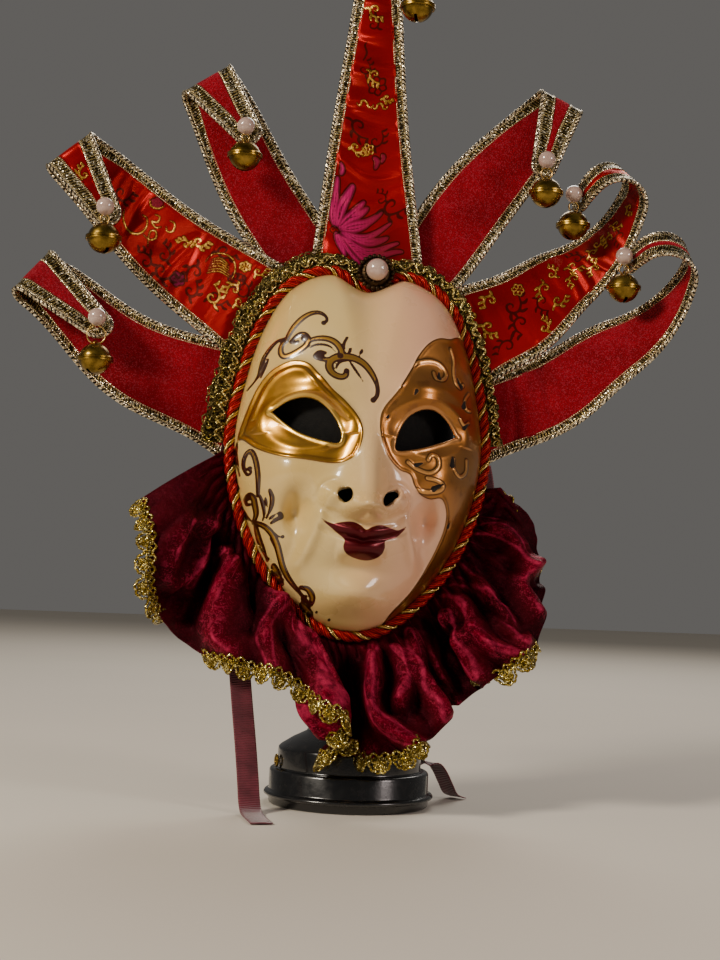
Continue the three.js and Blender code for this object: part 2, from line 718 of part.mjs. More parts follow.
add(jesterMask, "stand_base", lathe(standProfile, 26), "black");
add(jesterMask, "stand_neck", neck(), "black");
add(jesterMask, "head_form", head(), "black");
add(jesterMask, "stand_catch", brassCatch(), "brass");

add(mask, "face_shell", faceShell(), "porcelain");
add(mask, "rim_rope", rimRope(), "rope");
add(mask, "rim_lace", rimLace(), "goldLace");
add(mask, "crown_setting", crownSetting(), "bronze");
const pearlLift = Math.sqrt(crownPearlRadius ** 2 - (crownSeat - touchGap) ** 2);
add(mask, "crown_pearl", new THREE.SphereGeometry(crownPearlRadius, 12, 8), "pearl", [
  crown.u,
  crown.front - crown.height - pearlLift,
  crown.w,
]);

for (const [name, ray] of Object.entries(rays)) {
  add(mask, `ray_${name}`, stripPanel(ray), ray.cloth);
  add(mask, `braid_${name}`, stripBraid(ray), "silverBraid");
  const off = -(braid.thickness / 2 + pearlRadius);
  const place = stripPoint(ray, stripLength(ray) - pearlInset, 0, off);
  add(mask, `pearl_${name}`, new THREE.SphereGeometry(pearlRadius, 8, 6), "pearl", place.toArray());
  // Links and bells hang straight down, so they are placed in the stand's frame.
  const hang = mask.localToWorld(place.clone());
  const room = ray.drop - pearlRadius - bell.top - 2 * touchGap;
  const linkMiddle = hang.z - pearlRadius - touchGap - room / 2;
  add(jesterMask, `link_${name}`, link(room), "goldWire", [hang.x, hang.y, linkMiddle]);
  add(jesterMask, `bell_${name}`, bellBody(), "brass", [hang.x, hang.y, hang.z - ray.drop]);
}

add(mask, "ruff", ruff(), "ruffVelvet");
add(mask, "ruff_lace", ruffLace(), "goldLace");
add(jesterMask, "tie_ribbon_left", tieRibbon(ribbonLeft, [1, 0, 0]), "ribbonWeave");
add(jesterMask, "tie_ribbon_right", tieRibbon(ribbonRight, [-0.6, 0.8, 0]), "ribbonWeave");

export default jesterMask;
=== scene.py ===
import bpy
import math
import numpy as np
from mathutils import Matrix, Vector


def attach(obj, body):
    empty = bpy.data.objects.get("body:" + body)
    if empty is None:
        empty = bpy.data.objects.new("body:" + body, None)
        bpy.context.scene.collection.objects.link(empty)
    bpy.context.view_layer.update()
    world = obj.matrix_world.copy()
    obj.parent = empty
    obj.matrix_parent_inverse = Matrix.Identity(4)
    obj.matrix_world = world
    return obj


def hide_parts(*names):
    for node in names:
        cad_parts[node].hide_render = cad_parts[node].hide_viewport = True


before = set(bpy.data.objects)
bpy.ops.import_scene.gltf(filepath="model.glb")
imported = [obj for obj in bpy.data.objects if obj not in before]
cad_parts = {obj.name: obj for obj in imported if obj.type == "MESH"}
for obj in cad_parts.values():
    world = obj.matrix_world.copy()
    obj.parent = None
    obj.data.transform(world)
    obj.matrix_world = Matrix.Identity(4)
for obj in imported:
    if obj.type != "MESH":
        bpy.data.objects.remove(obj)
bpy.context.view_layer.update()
bpy.ops.object.select_all(action="DESELECT")
rng = np.random.default_rng(7)
mm = 0.001


# small helpers for meshes; lengths are millimetres until a mesh is made

def meshFrom(name, points, faces):
    mesh = bpy.data.meshes.new(name)
    mesh.from_pydata((np.asarray(points) * mm).tolist(), [], [list(map(int, f)) for f in faces])
    mesh.validate()
    obj = bpy.data.objects.new(name, mesh)
    bpy.context.collection.objects.link(obj)
    mesh.shade_smooth()
    return obj


def gridFaces(rows, cols, wrapRows=False, wrapCols=False):
    i = np.arange(rows if wrapRows else rows - 1)
    j = np.arange(cols if wrapCols else cols - 1)
    i, j = [a.ravel() for a in np.meshgrid(i, j, indexing="ij")]
    i2, j2 = (i + 1) % rows, (j + 1) % cols
    return np.stack([i * cols + j, i2 * cols + j, i2 * cols + j2, i * cols + j2], 1)


# a front and a back grid, with a wall round their edge
def slabFaces(rows, cols):
    n = rows * cols
    faces = gridFaces(rows, cols)
    edge = ([i * cols for i in range(rows)] + [n - cols + j for j in range(1, cols)]
            + [i * cols + cols - 1 for i in range(rows - 2, -1, -1)] + list(range(cols - 2, 0, -1)))
    wall = [[a, b, b + n, a + n] for a, b in zip(edge, edge[1:] + edge[:1])]
    return faces.tolist() + (faces[:, ::-1] + n).tolist() + wall


# one value for each point of a mesh, under the name that its material reads
def mark(obj, **fields):
    for name, values in fields.items():
        attribute = obj.data.attributes.new(name, "FLOAT", "POINT")
        attribute.data.foreach_set("value", np.asarray(values, np.float32).ravel())


def faceOut(obj):
    only(obj)
    bpy.ops.object.mode_set(mode="EDIT")
    bpy.ops.mesh.select_all(action="SELECT")
    bpy.ops.mesh.normals_make_consistent(inside=False)
    bpy.ops.object.mode_set(mode="OBJECT")


def only(obj):
    bpy.ops.object.select_all(action="DESELECT")
    obj.select_set(True)
    bpy.context.view_layer.objects.active = obj


def applyModifier(obj, kind, **values):
    only(obj)
    modifier = obj.modifiers.new(kind.title(), kind)
    for key, value in values.items():
        setattr(modifier, key, value)
    bpy.ops.object.modifier_apply(modifier=modifier.name)


# fewer faces where nobody looks closely: the share kept of those round the given vertices
def coarsen(obj, hidden, kept):
    group = obj.vertex_groups.new(name="hidden")
    group.add(np.asarray(hidden).tolist(), 1.0, "REPLACE")
    share = len(hidden) / len(obj.data.vertices)
    applyModifier(obj, "DECIMATE", ratio=1 - share * (1 - kept), vertex_group="hidden",
                  vertex_group_factor=1.0)
    obj.vertex_groups.clear()


def applyPlace(obj):
    only(obj)
    bpy.ops.object.transform_apply(location=True, rotation=True, scale=True)


def joined(name, objs):
    only(objs[0])
    for o in objs:
        o.select_set(True)
    bpy.ops.object.join()
    objs[0].name = name
    objs[0].data.name = name
    return objs[0]


def copyOf(obj, name):
    twin = obj.copy()
    twin.data = obj.data.copy()
    twin.name = name
    bpy.context.collection.objects.link(twin)
    return twin


# a tube of one or several rings of points, with its ends closed unless it runs round
def tubeFaces(rings, around, closed):
    faces = gridFaces(rings, around, wrapRows=closed, wrapCols=True).tolist()
    if not closed:
        faces.append(list(range(around)))
        faces.append(list(range((rings - 1) * around, rings * around))[::-1])
    return faces


# frames carried along a line without turning about it
def carriedFrames(line, closed):
    step = np.roll(line, -1, 0) - np.roll(line, 1, 0) if closed else np.gradient(line, axis=0)
    tangent = unit(step)
    side = np.cross(tangent[0], [0.3, 0.1, 1.0])
    sides = []
    for t in tangent:
        side = side - t * side.dot(t)
        side = side / np.linalg.norm(side)
        sides.append(side)
    sides = np.array(sides)
    return sides, np.cross(tangent, sides)


def tube(name, line, radius, around=8, closed=False):
    line = np.asarray(line, float)
    radius = np.broadcast_to(radius, len(line))
    side, up = carriedFrames(line, closed)
    angle = np.arange(around) * 2 * math.pi / around
    ring = side[:, None] * np.cos(angle)[None, :, None] + up[:, None] * np.sin(angle)[None, :, None]
    points = line[:, None] + ring * radius[:, None, None]
    return meshFrom(name, points.reshape(-1, 3), tubeFaces(len(line), around, closed))


def smoothStep(x):
    x = np.clip(x, 0, 1)
    return x * x * (3 - 2 * x)


def curveThrough(points, perSpan=12, closed=False):
    p = np.asarray(points, float)
    count = len(p)
    out = []
    for i in range(count if closed else count - 1):
        if closed:
            a, b, c, d = p[i - 1], p[i], p[(i + 1) % count], p[(i + 2) % count]
        else:
            a, b, c, d = p[max(i - 1, 0)], p[i], p[i + 1], p[min(i + 2, count - 1)]
        for t in np.arange(perSpan) / perSpan:
            out.append(0.5 * (2 * b + (c - a) * t + (2 * a - 5 * b + 4 * c - d) * t**2
                              + (3 * b - a - 3 * c + d) * t**3))
    if not closed:
        out.append(p[-1])
    return np.array(out)


# a rise that falls off to both sides
def hill(x, width):
    return np.exp(-((x / width) ** 2))


def unit(vectors):
    return vectors / np.linalg.norm(vectors, axis=-1, keepdims=True)


# the part of each vector that is square to a line, at unit length
def squareTo(tangent, vectors):
    return unit(vectors - tangent * (vectors * tangent).sum(1, keepdims=True))


def closedUp(line):
    return np.vstack([line, line[:1]])


def lengthAlong(line):
    return np.r_[0, np.cumsum(np.linalg.norm(np.diff(line, axis=0), axis=1))]


def rowsAt(at, run, rows):
    return np.stack([np.interp(at, run, column) for column in rows.T], -1)


def evenly(line, step):
    run = lengthAlong(line)
    at = np.linspace(0, run[-1], max(int(round(run[-1] / step)), 2) + 1)
    return rowsAt(at, run, line)


# distance from many points to a line of short pieces
def distanceTo(points, line):
    best = np.full(len(points), 1e9)
    for a, b in zip(line[:-1], line[1:]):
        d = b - a
        t = np.clip(((points - a) @ d) / max(d @ d, 1e-9), 0, 1)
        best = np.minimum(best, np.hypot(*(points - a - t[:, None] * d).T))
    return best


def insideOutline(points, outline):
    x, y = points.T
    inside = np.zeros(len(points), bool)
    for (x0, y0), (x1, y1) in zip(outline, np.roll(outline, -1, 0)):
        crosses = (y0 > y) != (y1 > y)
        with np.errstate(divide="ignore", invalid="ignore"):
            inside ^= crosses & (x < (x1 - x0) * (y - y0) / (y1 - y0) + x0)
    return inside


# positive inside a closed outline
def signedDistance(points, outline):
    d = distanceTo(points, closedUp(outline))
    return np.where(insideOutline(points, outline), d, -d)


# helpers for materials: each adds nodes to the tree that was opened last
making = {}


def nodeIn(kind, inputs=None, **values):
    n = making["tree"].nodes.new(kind)
    for key, value in values.items():
        setattr(n, key, value)
    for key, value in (inputs or {}).items():
        if isinstance(value, bpy.types.NodeSocket):
            making["tree"].links.new(value, n.inputs[key])
        else:
            n.inputs[key].default_value = colour(value) if isinstance(value, str) else value
    return n


def feed(shader, socket, value):
    making["tree"].links.new(value, shader.inputs[socket])


def maths(operation, a, b=0.5, clamp=False):
    return nodeIn("ShaderNodeMath", {0: a, 1: b}, operation=operation, use_clamp=clamp).outputs[0]


def times(a, b):
    return maths("MULTIPLY", a, b)


def plus(a, b, clamp=False):
    return maths("ADD", a, b, clamp)


def larger(a, b):
    return maths("MAXIMUM", a, b)


def isOver(value, limit):
    return maths("GREATER_THAN", value, limit)


def farFrom(value, middle):
    return maths("ABSOLUTE", maths("SUBTRACT", value, middle), 0)


def sineOf(value, pace):
    return maths("SINE", times(value, pace))


def mixColour(factor, a, b):
    n = nodeIn("ShaderNodeMix", {0: factor, 6: a, 7: b}, data_type="RGBA", blend_type="MIX")
    return n.outputs[2]


def laid(shade, *layers):
    for factor, tone in layers:
        shade = mixColour(factor, shade, tone)
    return shade


def mixValue(factor, a, b):
    return nodeIn("ShaderNodeMix", {0: factor, 2: a, 3: b}, data_type="FLOAT").outputs[0]


def ramp(factor, low, high, fromValue=0.0, toValue=1.0):
    n = nodeIn("ShaderNodeMapRange", {0: factor, 1: low, 2: high, 3: fromValue, 4: toValue},
               interpolation_type="SMOOTHSTEP")
    return n.outputs[0]


def attribute(name):
    return nodeIn("ShaderNodeAttribute", attribute_name=name).outputs["Fac"]


def newMaterial(name, **values):
    material = bpy.data.materials.new(name)
    material.use_nodes = True
    making["tree"] = material.node_tree
    shader = material.node_tree.nodes["Principled BSDF"]
    for key, value in values.items():
        shader.inputs[key.replace("_", " ")].default_value = value
    return material, shader


def dress(obj, material):
    obj.data.materials.clear()
    obj.data.materials.append(material)
    return obj


def colour(hexCode, level=1.0):
    parts = [int(hexCode[i:i + 2], 16) / 255 for i in (0, 2, 4)]
    linear = (p / 12.92 if p < 0.04 else ((p + 0.055) / 1.055) ** 2.4 for p in parts)
    return tuple(level * p for p in linear) + (1,)


def newGroup(name, inputs, outputs):
    group = making["tree"] = bpy.data.node_groups.new(name, "ShaderNodeTree")
    for key, value in inputs.items():
        socket = group.interface.new_socket(key, in_out="INPUT", socket_type="NodeSocketFloat")
        socket.default_value = value
    for key in outputs:
        group.interface.new_socket(key, in_out="OUTPUT", socket_type="NodeSocketFloat")
    asked, given = group.nodes.new("NodeGroupInput"), group.nodes.new("NodeGroupOutput")
    return group, asked.outputs, given, group.nodes.new("ShaderNodeTexCoord").outputs["Object"]


# uneven value over the surface, for colour drift and wear
def makeUnevenGroup():
    inputs = {"Scale": 50.0, "Detail": 4.0, "Low": 0.0, "High": 1.0}
    group, asked, given, place = newGroup("uneven", inputs, ["Value"])
    noise = nodeIn("ShaderNodeTexNoise", {
        "Vector": place, "Scale": asked["Scale"], "Detail": asked["Detail"]})
    spread = nodeIn("ShaderNodeMapRange", {
        0: noise.outputs["Fac"], 1: 0.3, 2: 0.7, 3: asked["Low"], 4: asked["High"]})
    feed(given, "Value", spread.outputs[0])
    return group


# fine sparkle of metal thread: bright and dark specks on the surface's own coordinates
def makeGlitterGroup():
    group, asked, given, place = newGroup("metalThread", {"Scale": 900.0}, ["Shade", "Height"])
    cells = nodeIn("ShaderNodeTexVoronoi", {"Vector": place, "Scale": asked["Scale"]}, feature="F1")
    tone = nodeIn("ShaderNodeSeparateColor", {0: cells.outputs["Color"]})
    feed(given, "Shade", tone.outputs[0])
    feed(given, "Height", cells.outputs["Distance"])
    return group


unevenGroup = makeUnevenGroup()
glitterGroup = makeGlitterGroup()


def uneven(scale, low=0.0, high=1.0, detail=4.0):
    n = nodeIn("ShaderNodeGroup", node_tree=unevenGroup)
    for key, value in (("Scale", scale), ("Detail", detail), ("Low", low), ("High", high)):
        n.inputs[key].default_value = value
    return n.outputs[0]


def drift(scale, low=0.0, high=1.0, detail=4.0):
    return plus(uneven(scale, low, high, detail), 0.0, clamp=True)


def glitter(scale):
    n = nodeIn("ShaderNodeGroup", node_tree=glitterGroup)
    n.inputs["Scale"].default_value = scale
    return n.outputs


def bumpInto(shader, height, distance, strength):
    n = nodeIn("ShaderNodeBump", {"Height": height, "Strength": strength, "Distance": distance})
    feed(shader, "Normal", n.outputs[0])


# every piece of its own goes into its body, and the solid it stands for is hidden
def standFor(obj, node, slot):
    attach(obj, "root")
    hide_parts(node)


# camera, as the photograph was taken

cameraSet = {"from": (-0.1132, -0.9936, 0.142), "turn": -6.5, "pitch": 3.52, "roll": 2.2,
             "lens": 59.0625}


def makeCamera():
    turn, pitch, roll = (math.radians(cameraSet[k]) for k in ("turn", "pitch", "roll"))
    flat = math.cos(pitch)
    ahead = Vector((-math.sin(turn) * flat, math.cos(turn) * flat, math.sin(pitch)))
    right0 = ahead.cross(Vector((0, 0, 1))).normalized()
    up0 = right0.cross(ahead)
    up = math.cos(roll) * up0 - math.sin(roll) * right0
    right = math.cos(roll) * right0 + math.sin(roll) * up0
    data = bpy.data.cameras.new("camera")
    data.lens = cameraSet["lens"]
    data.sensor_width = 36
    camera = bpy.data.objects.new("camera", data)
    camera.matrix_world = Matrix((
        (right.x, up.x, -ahead.x, cameraSet["from"][0]),
        (right.y, up.y, -ahead.y, cameraSet["from"][1]),
        (right.z, up.z, -ahead.z, cameraSet["from"][2]),
        (0, 0, 0, 1)))
    bpy.context.collection.objects.link(camera)
    bpy.context.scene.camera = camera


makeCamera()

# where the mask sits on its stand
maskSet = {"centre": (-4, -15, 218), "lean": 5, "skew": 1.4}
maskTurn = np.array((Matrix.Rotation(-math.radians(maskSet["lean"]), 3, "X")
                     @ Matrix.Rotation(math.radians(maskSet["skew"]), 3, "Y")))


def fromMask(points):
    return np.asarray(points) @ maskTurn.T + np.array(maskSet["centre"])


# the two tie ribbons

ribbonSet = {
    "width": 13, "thick": 0.9, "edge": 0.35,
    "left": [
        (-82, -13.3, 224), (-83, -11.6, 216), (-84, -9.3, 209), (-85, -7, 199), (-83, -6, 170),
        (-79.5, -8, 140), (-75.5, -13, 110), (-72.5, -21, 85), (-70, -29, 62), (-67.5, -37, 40),
        (-65.5, -44, 20), (-64.5, -48.5, 8), (-63.5, -54, 2), (-62.5, -64, 0.8), (-61, -78, 0.8),
        (-59, -93, 0.8)],
    "right": [
        (75, -13.8, 214), (77, -11.6, 207), (79, -7.5, 199), (80, -2, 188), (80, 10, 165),
        (74, 24, 135), (64, 32, 105), (54, 34, 78), (49, 30, 58), (47, 24, 40), (47.5, 21, 27),
        (51, 20, 23.6), (57, 20.5, 23.6), (61.5, 22, 19), (66, 25, 11), (70.5, 29, 3.6),
        (77, 34, 0.7)],
}


def ribbonMaterial():
    material, shader = newMaterial("ribbonWeave", Roughness=0.55, Sheen_Weight=0.5,
                                   Sheen_Roughness=0.4)
    along, across = attribute("along"), attribute("across")
    ribs = sineOf(along, 2 * math.pi / 1.5)
    # the last layer darkens the low parts of the ribs: painted shade between them
    feed(shader, "Base Color", laid(
        "541826", (uneven(120, 0, 1), "7a2c3c"), (ramp(farFrom(across, 0), 5.6, 6.4), "7e303c"),
        (ramp(ribs, -1, 0.6, 0.35, 0), "2a0810")))
    bumpInto(shader, ribs, 0.0003, 0.8)
    return material


def makeRibbon(name, route, endAcross, material, node):
    line = evenly(curveThrough(route, 24), 1.5)
    tangent = unit(np.gradient(line, axis=0))
    part = np.linspace(0, 1, len(line))
    swung = smoothStep(part * 1.4)[:, None]
    way = np.array([1.0, 0, 0]) + swung * (np.array(endAcross) - [1, 0, 0])
    way = squareTo(tangent, way)
    normal = np.cross(tangent, way)
    half, thick = ribbonSet["width"] / 2, ribbonSet["thick"] / 2
    across = np.linspace(-half, half, 13)
    cup = 0.5 * (1 - (across / half) ** 2) * 0.4
    ring = [(a, thick * 0.7 + c) for a, c in zip(across, cup)] + [
        (a, -thick * 0.7 + c) for a, c in zip(across[::-1], cup[::-1])]
    points = np.stack([line + way * a + normal * t for a, t in ring], 1)
    points[..., 2] = np.maximum(points[..., 2], 0.05)
    obj = meshFrom(name, points.reshape(-1, 3), tubeFaces(len(line), len(ring), False))
    run = lengthAlong(line)
    mark(obj, along=np.repeat(run, len(ring)), across=np.tile([a for a, t in ring], len(line)))
    faceOut(obj)
    dress(obj, material)
    standFor(obj, node, "ribbon_weave")
    return obj


weave = ribbonMaterial()
makeRibbon("tieRibbonLeft", ribbonSet["left"], (1, 0, 0), weave, "tie_ribbon_left")
makeRibbon("tieRibbonRight", ribbonSet["right"], (-0.6, 0.8, 0), weave, "tie_ribbon_right")
print("camera and ribbons")


# the rim that everything on the mask follows

rimHalf = [(0, 107), (24, 116.5), (50, 104), (66.5, 75.5), (76, 40), (80.5, 2), (73.5, -37),
           (56, -74), (27, -104.5)]
rimLine = curveThrough(rimHalf + [(0, -113.5)] + [(-u, w) for u, w in rimHalf[:0:-1]], 60,
                       closed=True)
rimRun = lengthAlong(closedUp(rimLine))
rimLength = rimRun[-1]
ropeSet = {
    "radius": 3.8, "turns": 36, "gap": 0.35, "perTurn": 16, "perThread": 3, "core": 1.6,
    "red": [(0.0, 1.95, 1.86, 7), (0.35, 1.95, 1.86, 7)], "gilt": [(0.675, 2.15, 1.52, 5)],
}


# along runs from 0 at the dip over the forehead, by the right ear and the chin, back to 1
def besideRim(along, outward, y):
    at = (np.asarray(along, float) % 1) * rimLength
    ring = closedUp(rimLine)
    p, q, r = (rowsAt(spot % rimLength, rimRun, ring) for spot in (at, at + 0.5, at - 0.5))
    t = unit(q - r)
    out = np.stack([-t[..., 1], t[..., 0]], -1)
    flat = p + out * np.asarray(outward)[..., None]
    return np.stack([flat[..., 0], np.broadcast_to(y, at.shape), flat[..., 1]], -1)


# how far the rim, drawn in a little, is from the middle in every direction
def rimDistance(count, drawnIn):
    ring = besideRim(np.arange(count) / count, -drawnIn, 0)
    angle, far = np.arctan2(ring[:, 0], ring[:, 2]), np.hypot(ring[:, 0], ring[:, 2])
    order = np.argsort(angle)

    def farAt(u, w):
        return np.interp(np.arctan2(u, w), angle[order], far[order], period=2 * math.pi)

    return farAt


# the value of a field of distances where nothing is near
unmarked = -9.0


# the face

faceSet = {
    "depth": 56, "wall": 3, "columns": 190, "rows": 244, "edge": 2.9, "insideKept": 0.12,
    "nose": {"top": 26, "tip": -40.5, "base": -50.5, "height": 25, "bridge": 7, "tipWidth": 14},
    "forms": [
        (36, 34, 19, 9, 6), (36, 10, 18, 10, -6), (48, -22, 15, 17, 6), (39, -44, 7, 12, -7),
        (19.5, -34.5, 6.6, 6.8, 11.5), (0, -41.5, 9, 6, 4.4), (0, -57, 24, 13, 8),
        (0, -75, 15, 4.5, -3), (0, -91, 18, 9.5, 11), (0, -104, 26, 5, -5), (40, -42, 6, 9, -6)],
    "eyeHoles": [
        [(-57, 16.2), (-57, 16.2), (-48, 22), (-38.5, 24), (-29.6, 21.6), (-21.6, 14.5),
         (-16.6, 4.1), (-17.8, -2.6), (-28.3, -0.9), (-40, 3.6), (-49, 9.6)],
        [(55.4, 8.6), (55.4, 8.6), (50.2, 15.8), (42.5, 21.3), (34, 22.1), (24.9, 17.5),
         (19.1, 8.3), (16.4, -2.6), (20, -4.8), (31.9, -1.9), (44.9, 3.4)]],
    "nostrils": [(-13.3, -34.1, 4.5, 5.4, 0), (14.8, -34.2, 7.9, 4.0, 50)],
    "lips": [
        (-25.5, -47.8), (-18.5, -50.6), (-12.9, -49.6), (-7.1, -49.2), (-2, -51), (1.2, -53.6),
        (4.5, -51.8), (10, -50.1), (16.5, -51.5), (21.1, -51.9), (26, -49.4), (20.8, -55.6),
        (13.8, -58.6), (13.6, -62.7), (12, -66.8), (8, -69.5), (2.5, -70.6), (-4.5, -69.5),
        (-9.3, -67.3), (-11.2, -64), (-11, -59.3), (-17, -54.6)],
    "goldPatch": [
        (-75.5, 3.8), (-67.8, 28.3), (-60.4, 40.3), (-52.7, 45.7), (-45, 47.8), (-37, 45.5),
        (-31.3, 38.5), (-22.6, 29.4), (-13.8, 21.8), (-6.4, 13.1), (-3.6, 5.1), (-4.4, -3.2),
        (-7.6, -10.6), (-12.4, -13.8), (-20.1, -15.1), (-33.6, -13.9), (-49.9, -12.1),
        (-63.7, -6.4), (-72, 0.2)],
    "bronzePatch": [
        (49, 71), (42, 69.5), (35, 64.5), (28.5, 55.4), (23.5, 44.8), (16.3, 31.8), (8.6, 20.9),
        (6, 12), (7.2, 1.3), (11.8, -9.1), (19.2, -16), (26, -18.4), (29, -24.5), (33, -29.2),
        (40, -31), (47, -30.5), (51.2, -38), (50.8, -48), (46.8, -60), (41.5, -72), (33.5, -86),
        (22, -101), (24, -112), (95, -60), (98, 40), (66, 74)],
    "frame": {"goldGap": 2.1, "height": 1.0, "width": 0.95},
}

# brush scrolls on the forehead and the left cheek: points, half width
paintedScrolls = [
    ([(-50.8, 60.7), (-49.3, 65.6), (-45.7, 71.8), (-40.8, 76.9), (-36, 79.4), (-31.8, 79.5),
      (-28.3, 77.2), (-27.4, 74.2), (-29.3, 71.9)], 1.6),
    ([(-51.1, 61.9), (-53.4, 58.3), (-53.7, 54), (-51.9, 51.1), (-48.1, 51.6), (-43.4, 54.2),
      (-39.5, 57.4), (-38, 61.2), (-39.8, 64.6), (-42.8, 65.3), (-46, 63.3), (-48, 60),
      (-44, 60.2)], 1.7),
    ([(-51.6, 63.1), (-56.3, 61.5), (-60.4, 56.9), (-63.3, 51.8), (-64.7, 46.4), (-65.8, 41),
      (-68.4, 36.8), (-71.8, 33)], 1.2),
    ([(-61, 50.4), (-62.6, 45.8), (-64.4, 39.2)], 1.1),
    ([(-38, 60.1), (-33.9, 61.8), (-28.5, 62.1), (-23.7, 60.7), (-20.1, 57.5), (-18.1, 52.9),
      (-20, 49.6), (-25.4, 48.2), (-31.4, 48.8), (-34.1, 50.5), (-31.5, 53.3), (-27.9, 52.6)], 1.8),
    ([(-37.1, 55.9), (-33.9, 57.7), (-29.1, 58), (-24.9, 56.6), (-21.6, 53.2)], 0.75),
    ([(-14.9, 41.5), (-15.7, 38.2), (-19.3, 37.3), (-23.6, 39.4), (-25.4, 43.6), (-24.2, 47.6),
      (-20.6, 49.9), (-14.6, 50.5), (-9.1, 49.5), (-3.6, 46.2), (1, 40.2), (3.8, 33.6), (4, 27.9),
      (1.8, 24.3)], 2.2),
    ([(-21.5, 42.3), (-19.4, 46.6), (-14.6, 47.8)], 0.8),
    ([(-12.8, 47.1), (-9.7, 42.6), (-4.8, 35.7)], 0.8),
    ([(-14.9, 63.2), (-16.7, 59.7), (-16.4, 56)], 0.85), ([(-12.7, 56.1), (-14.3, 51.6)], 0.9),
    ([(-5.7, 56), (-7.3, 52.5)], 0.9),
    ([(-61.8, -33.7), (-62.7, -22.4), (-64.6, -13.1), (-67.1, -7.5), (-69.5, -7.3), (-71.3, -11.1),
      (-71.1, -16.1), (-68.9, -20.6), (-66.9, -19.9), (-67.8, -16.9)], 1.4),
    ([(-62.9, -48.7), (-61.9, -44), (-63.1, -38.8), (-64.2, -35), (-66.7, -32.5), (-68.7, -34.3),
      (-67.6, -37.7), (-65.9, -38.1)], 1.5),
    ([(-71.9, -34.6), (-70.2, -39.3), (-66.7, -45), (-62.9, -48.7)], 0.9),
    ([(-60.8, -33.8), (-58.6, -39.1), (-57.4, -44.4), (-57.9, -48)], 1.0),
    ([(-55.5, -31.2), (-53.7, -35.7), (-53.8, -40.9), (-55.8, -46.7)], 1.25),
    ([(-57.5, -35.5), (-56.3, -40.4)], 0.8), ([(-54.1, -47.5), (-51.1, -45.1)], 0.85),
    ([(-52.9, -49.9), (-49.6, -47.6), (-47, -46.3), (-48.2, -43.9), (-49.7, -44.6)], 1.1),
    ([(-55.8, -51.8), (-51.3, -55.7), (-48.2, -57.7), (-45.4, -58)], 0.85),
    ([(-62.2, -48.8), (-56.6, -51.6), (-51.8, -56.4), (-48.5, -62.4), (-46.1, -69), (-43.9, -74.8),
      (-40.5, -80.7), (-35.6, -86.5), (-30.4, -91.9), (-26.6, -95.9)], 1.6),
    ([(-52.5, -58.6), (-49.3, -63.8), (-47.4, -69.7)], 0.75),
    ([(-62.1, -49.1), (-59, -58.1), (-55.7, -64.9), (-52.7, -70.8)], 1.3),
    ([(-49.1, -73.9), (-46.9, -78.3), (-42.8, -84.5)], 1.8),
    ([(-32.5, -86.7), (-28.3, -87.9), (-25.2, -92.3), (-25.8, -96.4), (-29.3, -95.1),
      (-30.8, -92.1), (-28.8, -91.9)], 1.5),
    ([(-30.3, -95.8), (-25.9, -100.4), (-22.4, -104.8)], 1.7),
    ([(-75.7, 0.4), (-76.1, -6.5), (-74.8, -13), (-73, -20.2)], 0.9),
    ([(-77.1, -8.4), (-76.3, -16.4), (-73.9, -24.5), (-72.7, -27.4)], 0.9),
]

# the dark drops that the brush left where a scroll coils up: middle, radius
paintedDrops = [
    (-29.3, 72.5, 1.7), (-40.1, 62.4, 2.5), (-44, 60.6, 0.9), (-31.2, 50.6, 3.2), (-15, 41, 1.7),
    (1.8, 24.6, 1.9), (-15.2, 63, 1.1), (-13.1, 55.7, 1.1), (-5.9, 55.7, 1), (-18.8, 50.9, 2),
    (-53.4, 61.9, 1.7), (-67.8, -17.3, 1.6), (-67.3, -33.8, 2.2), (-45.7, -57.9, 1.2),
    (-48.4, -45.4, 1.2), (-47.2, -79, 2.1), (-44.1, -82.7, 2.1), (-25.9, -95.9, 2),
    (-29.3, -92.8, 1.1), (-25, -101.5, 2.1), (-21.4, -100.6, 0.9), (-13.4, -104.7, 1),
    (-52.7, -70.1, 1.2)]

# raised scrolls on the bronze side
bronzeScrolls = [
    ([(17.6, 34.4), (19.8, 41), (24, 47.4), (30, 51.6), (37, 53.4), (43.5, 52), (47, 47),
      (45, 42.4), (40, 42), (38.6, 45.8)], 1.0),
    ([(50.5, 64.5), (52.6, 57), (52.3, 49), (53.8, 42.5), (57, 40), (59.6, 43)], 0.9),
    ([(64, 38.5), (60.8, 33), (62, 27.8), (65.2, 27.6)], 0.8),
    ([(57.5, 20), (60.5, 16.8), (63.8, 19.5)], 0.8),
    ([(24.6, -11), (31, -14.9), (38.5, -16.3), (43.4, -12.5), (43.2, -6.9), (39.2, -5), (37, -8.4)],
     1.0),
    ([(53.6, -5.5), (54, -11.5), (58.4, -15.4), (63, -11.5), (63.2, -4.3)], 0.9),
    ([(37, -19.5), (43, -20.4), (47, -22.7), (45.4, -26), (38, -27.4), (29.6, -26.8)], 1.0),
]

# the commas pressed in where a raised scroll coils up, coloured near-black as painted shade for the
# dark inside them: head, way to the tail, radius
bronzePits = [
    (42.1, 42.8, 0.4, 4.5, 1.8), (57.6, 40.8, -2, 5.5, 1.8), (60, 28.6, 0.8, 4.5, 1.6),
    (60.8, 15.4, 3, 3.4, 1.6), (29.6, -12.4, 5, 1.9, 1.6), (52.9, -9.6, 0.2, 5.6, 1.8),
    (41.4, -25.4, 6.6, 3.8, 1.8), (27.6, 32.2, -1.4, -3, 1.4), (10.8, 14.5, 0.8, 1.8, 1.2),
    (54.2, -45.5, 1.2, 2.6, 1.3)]


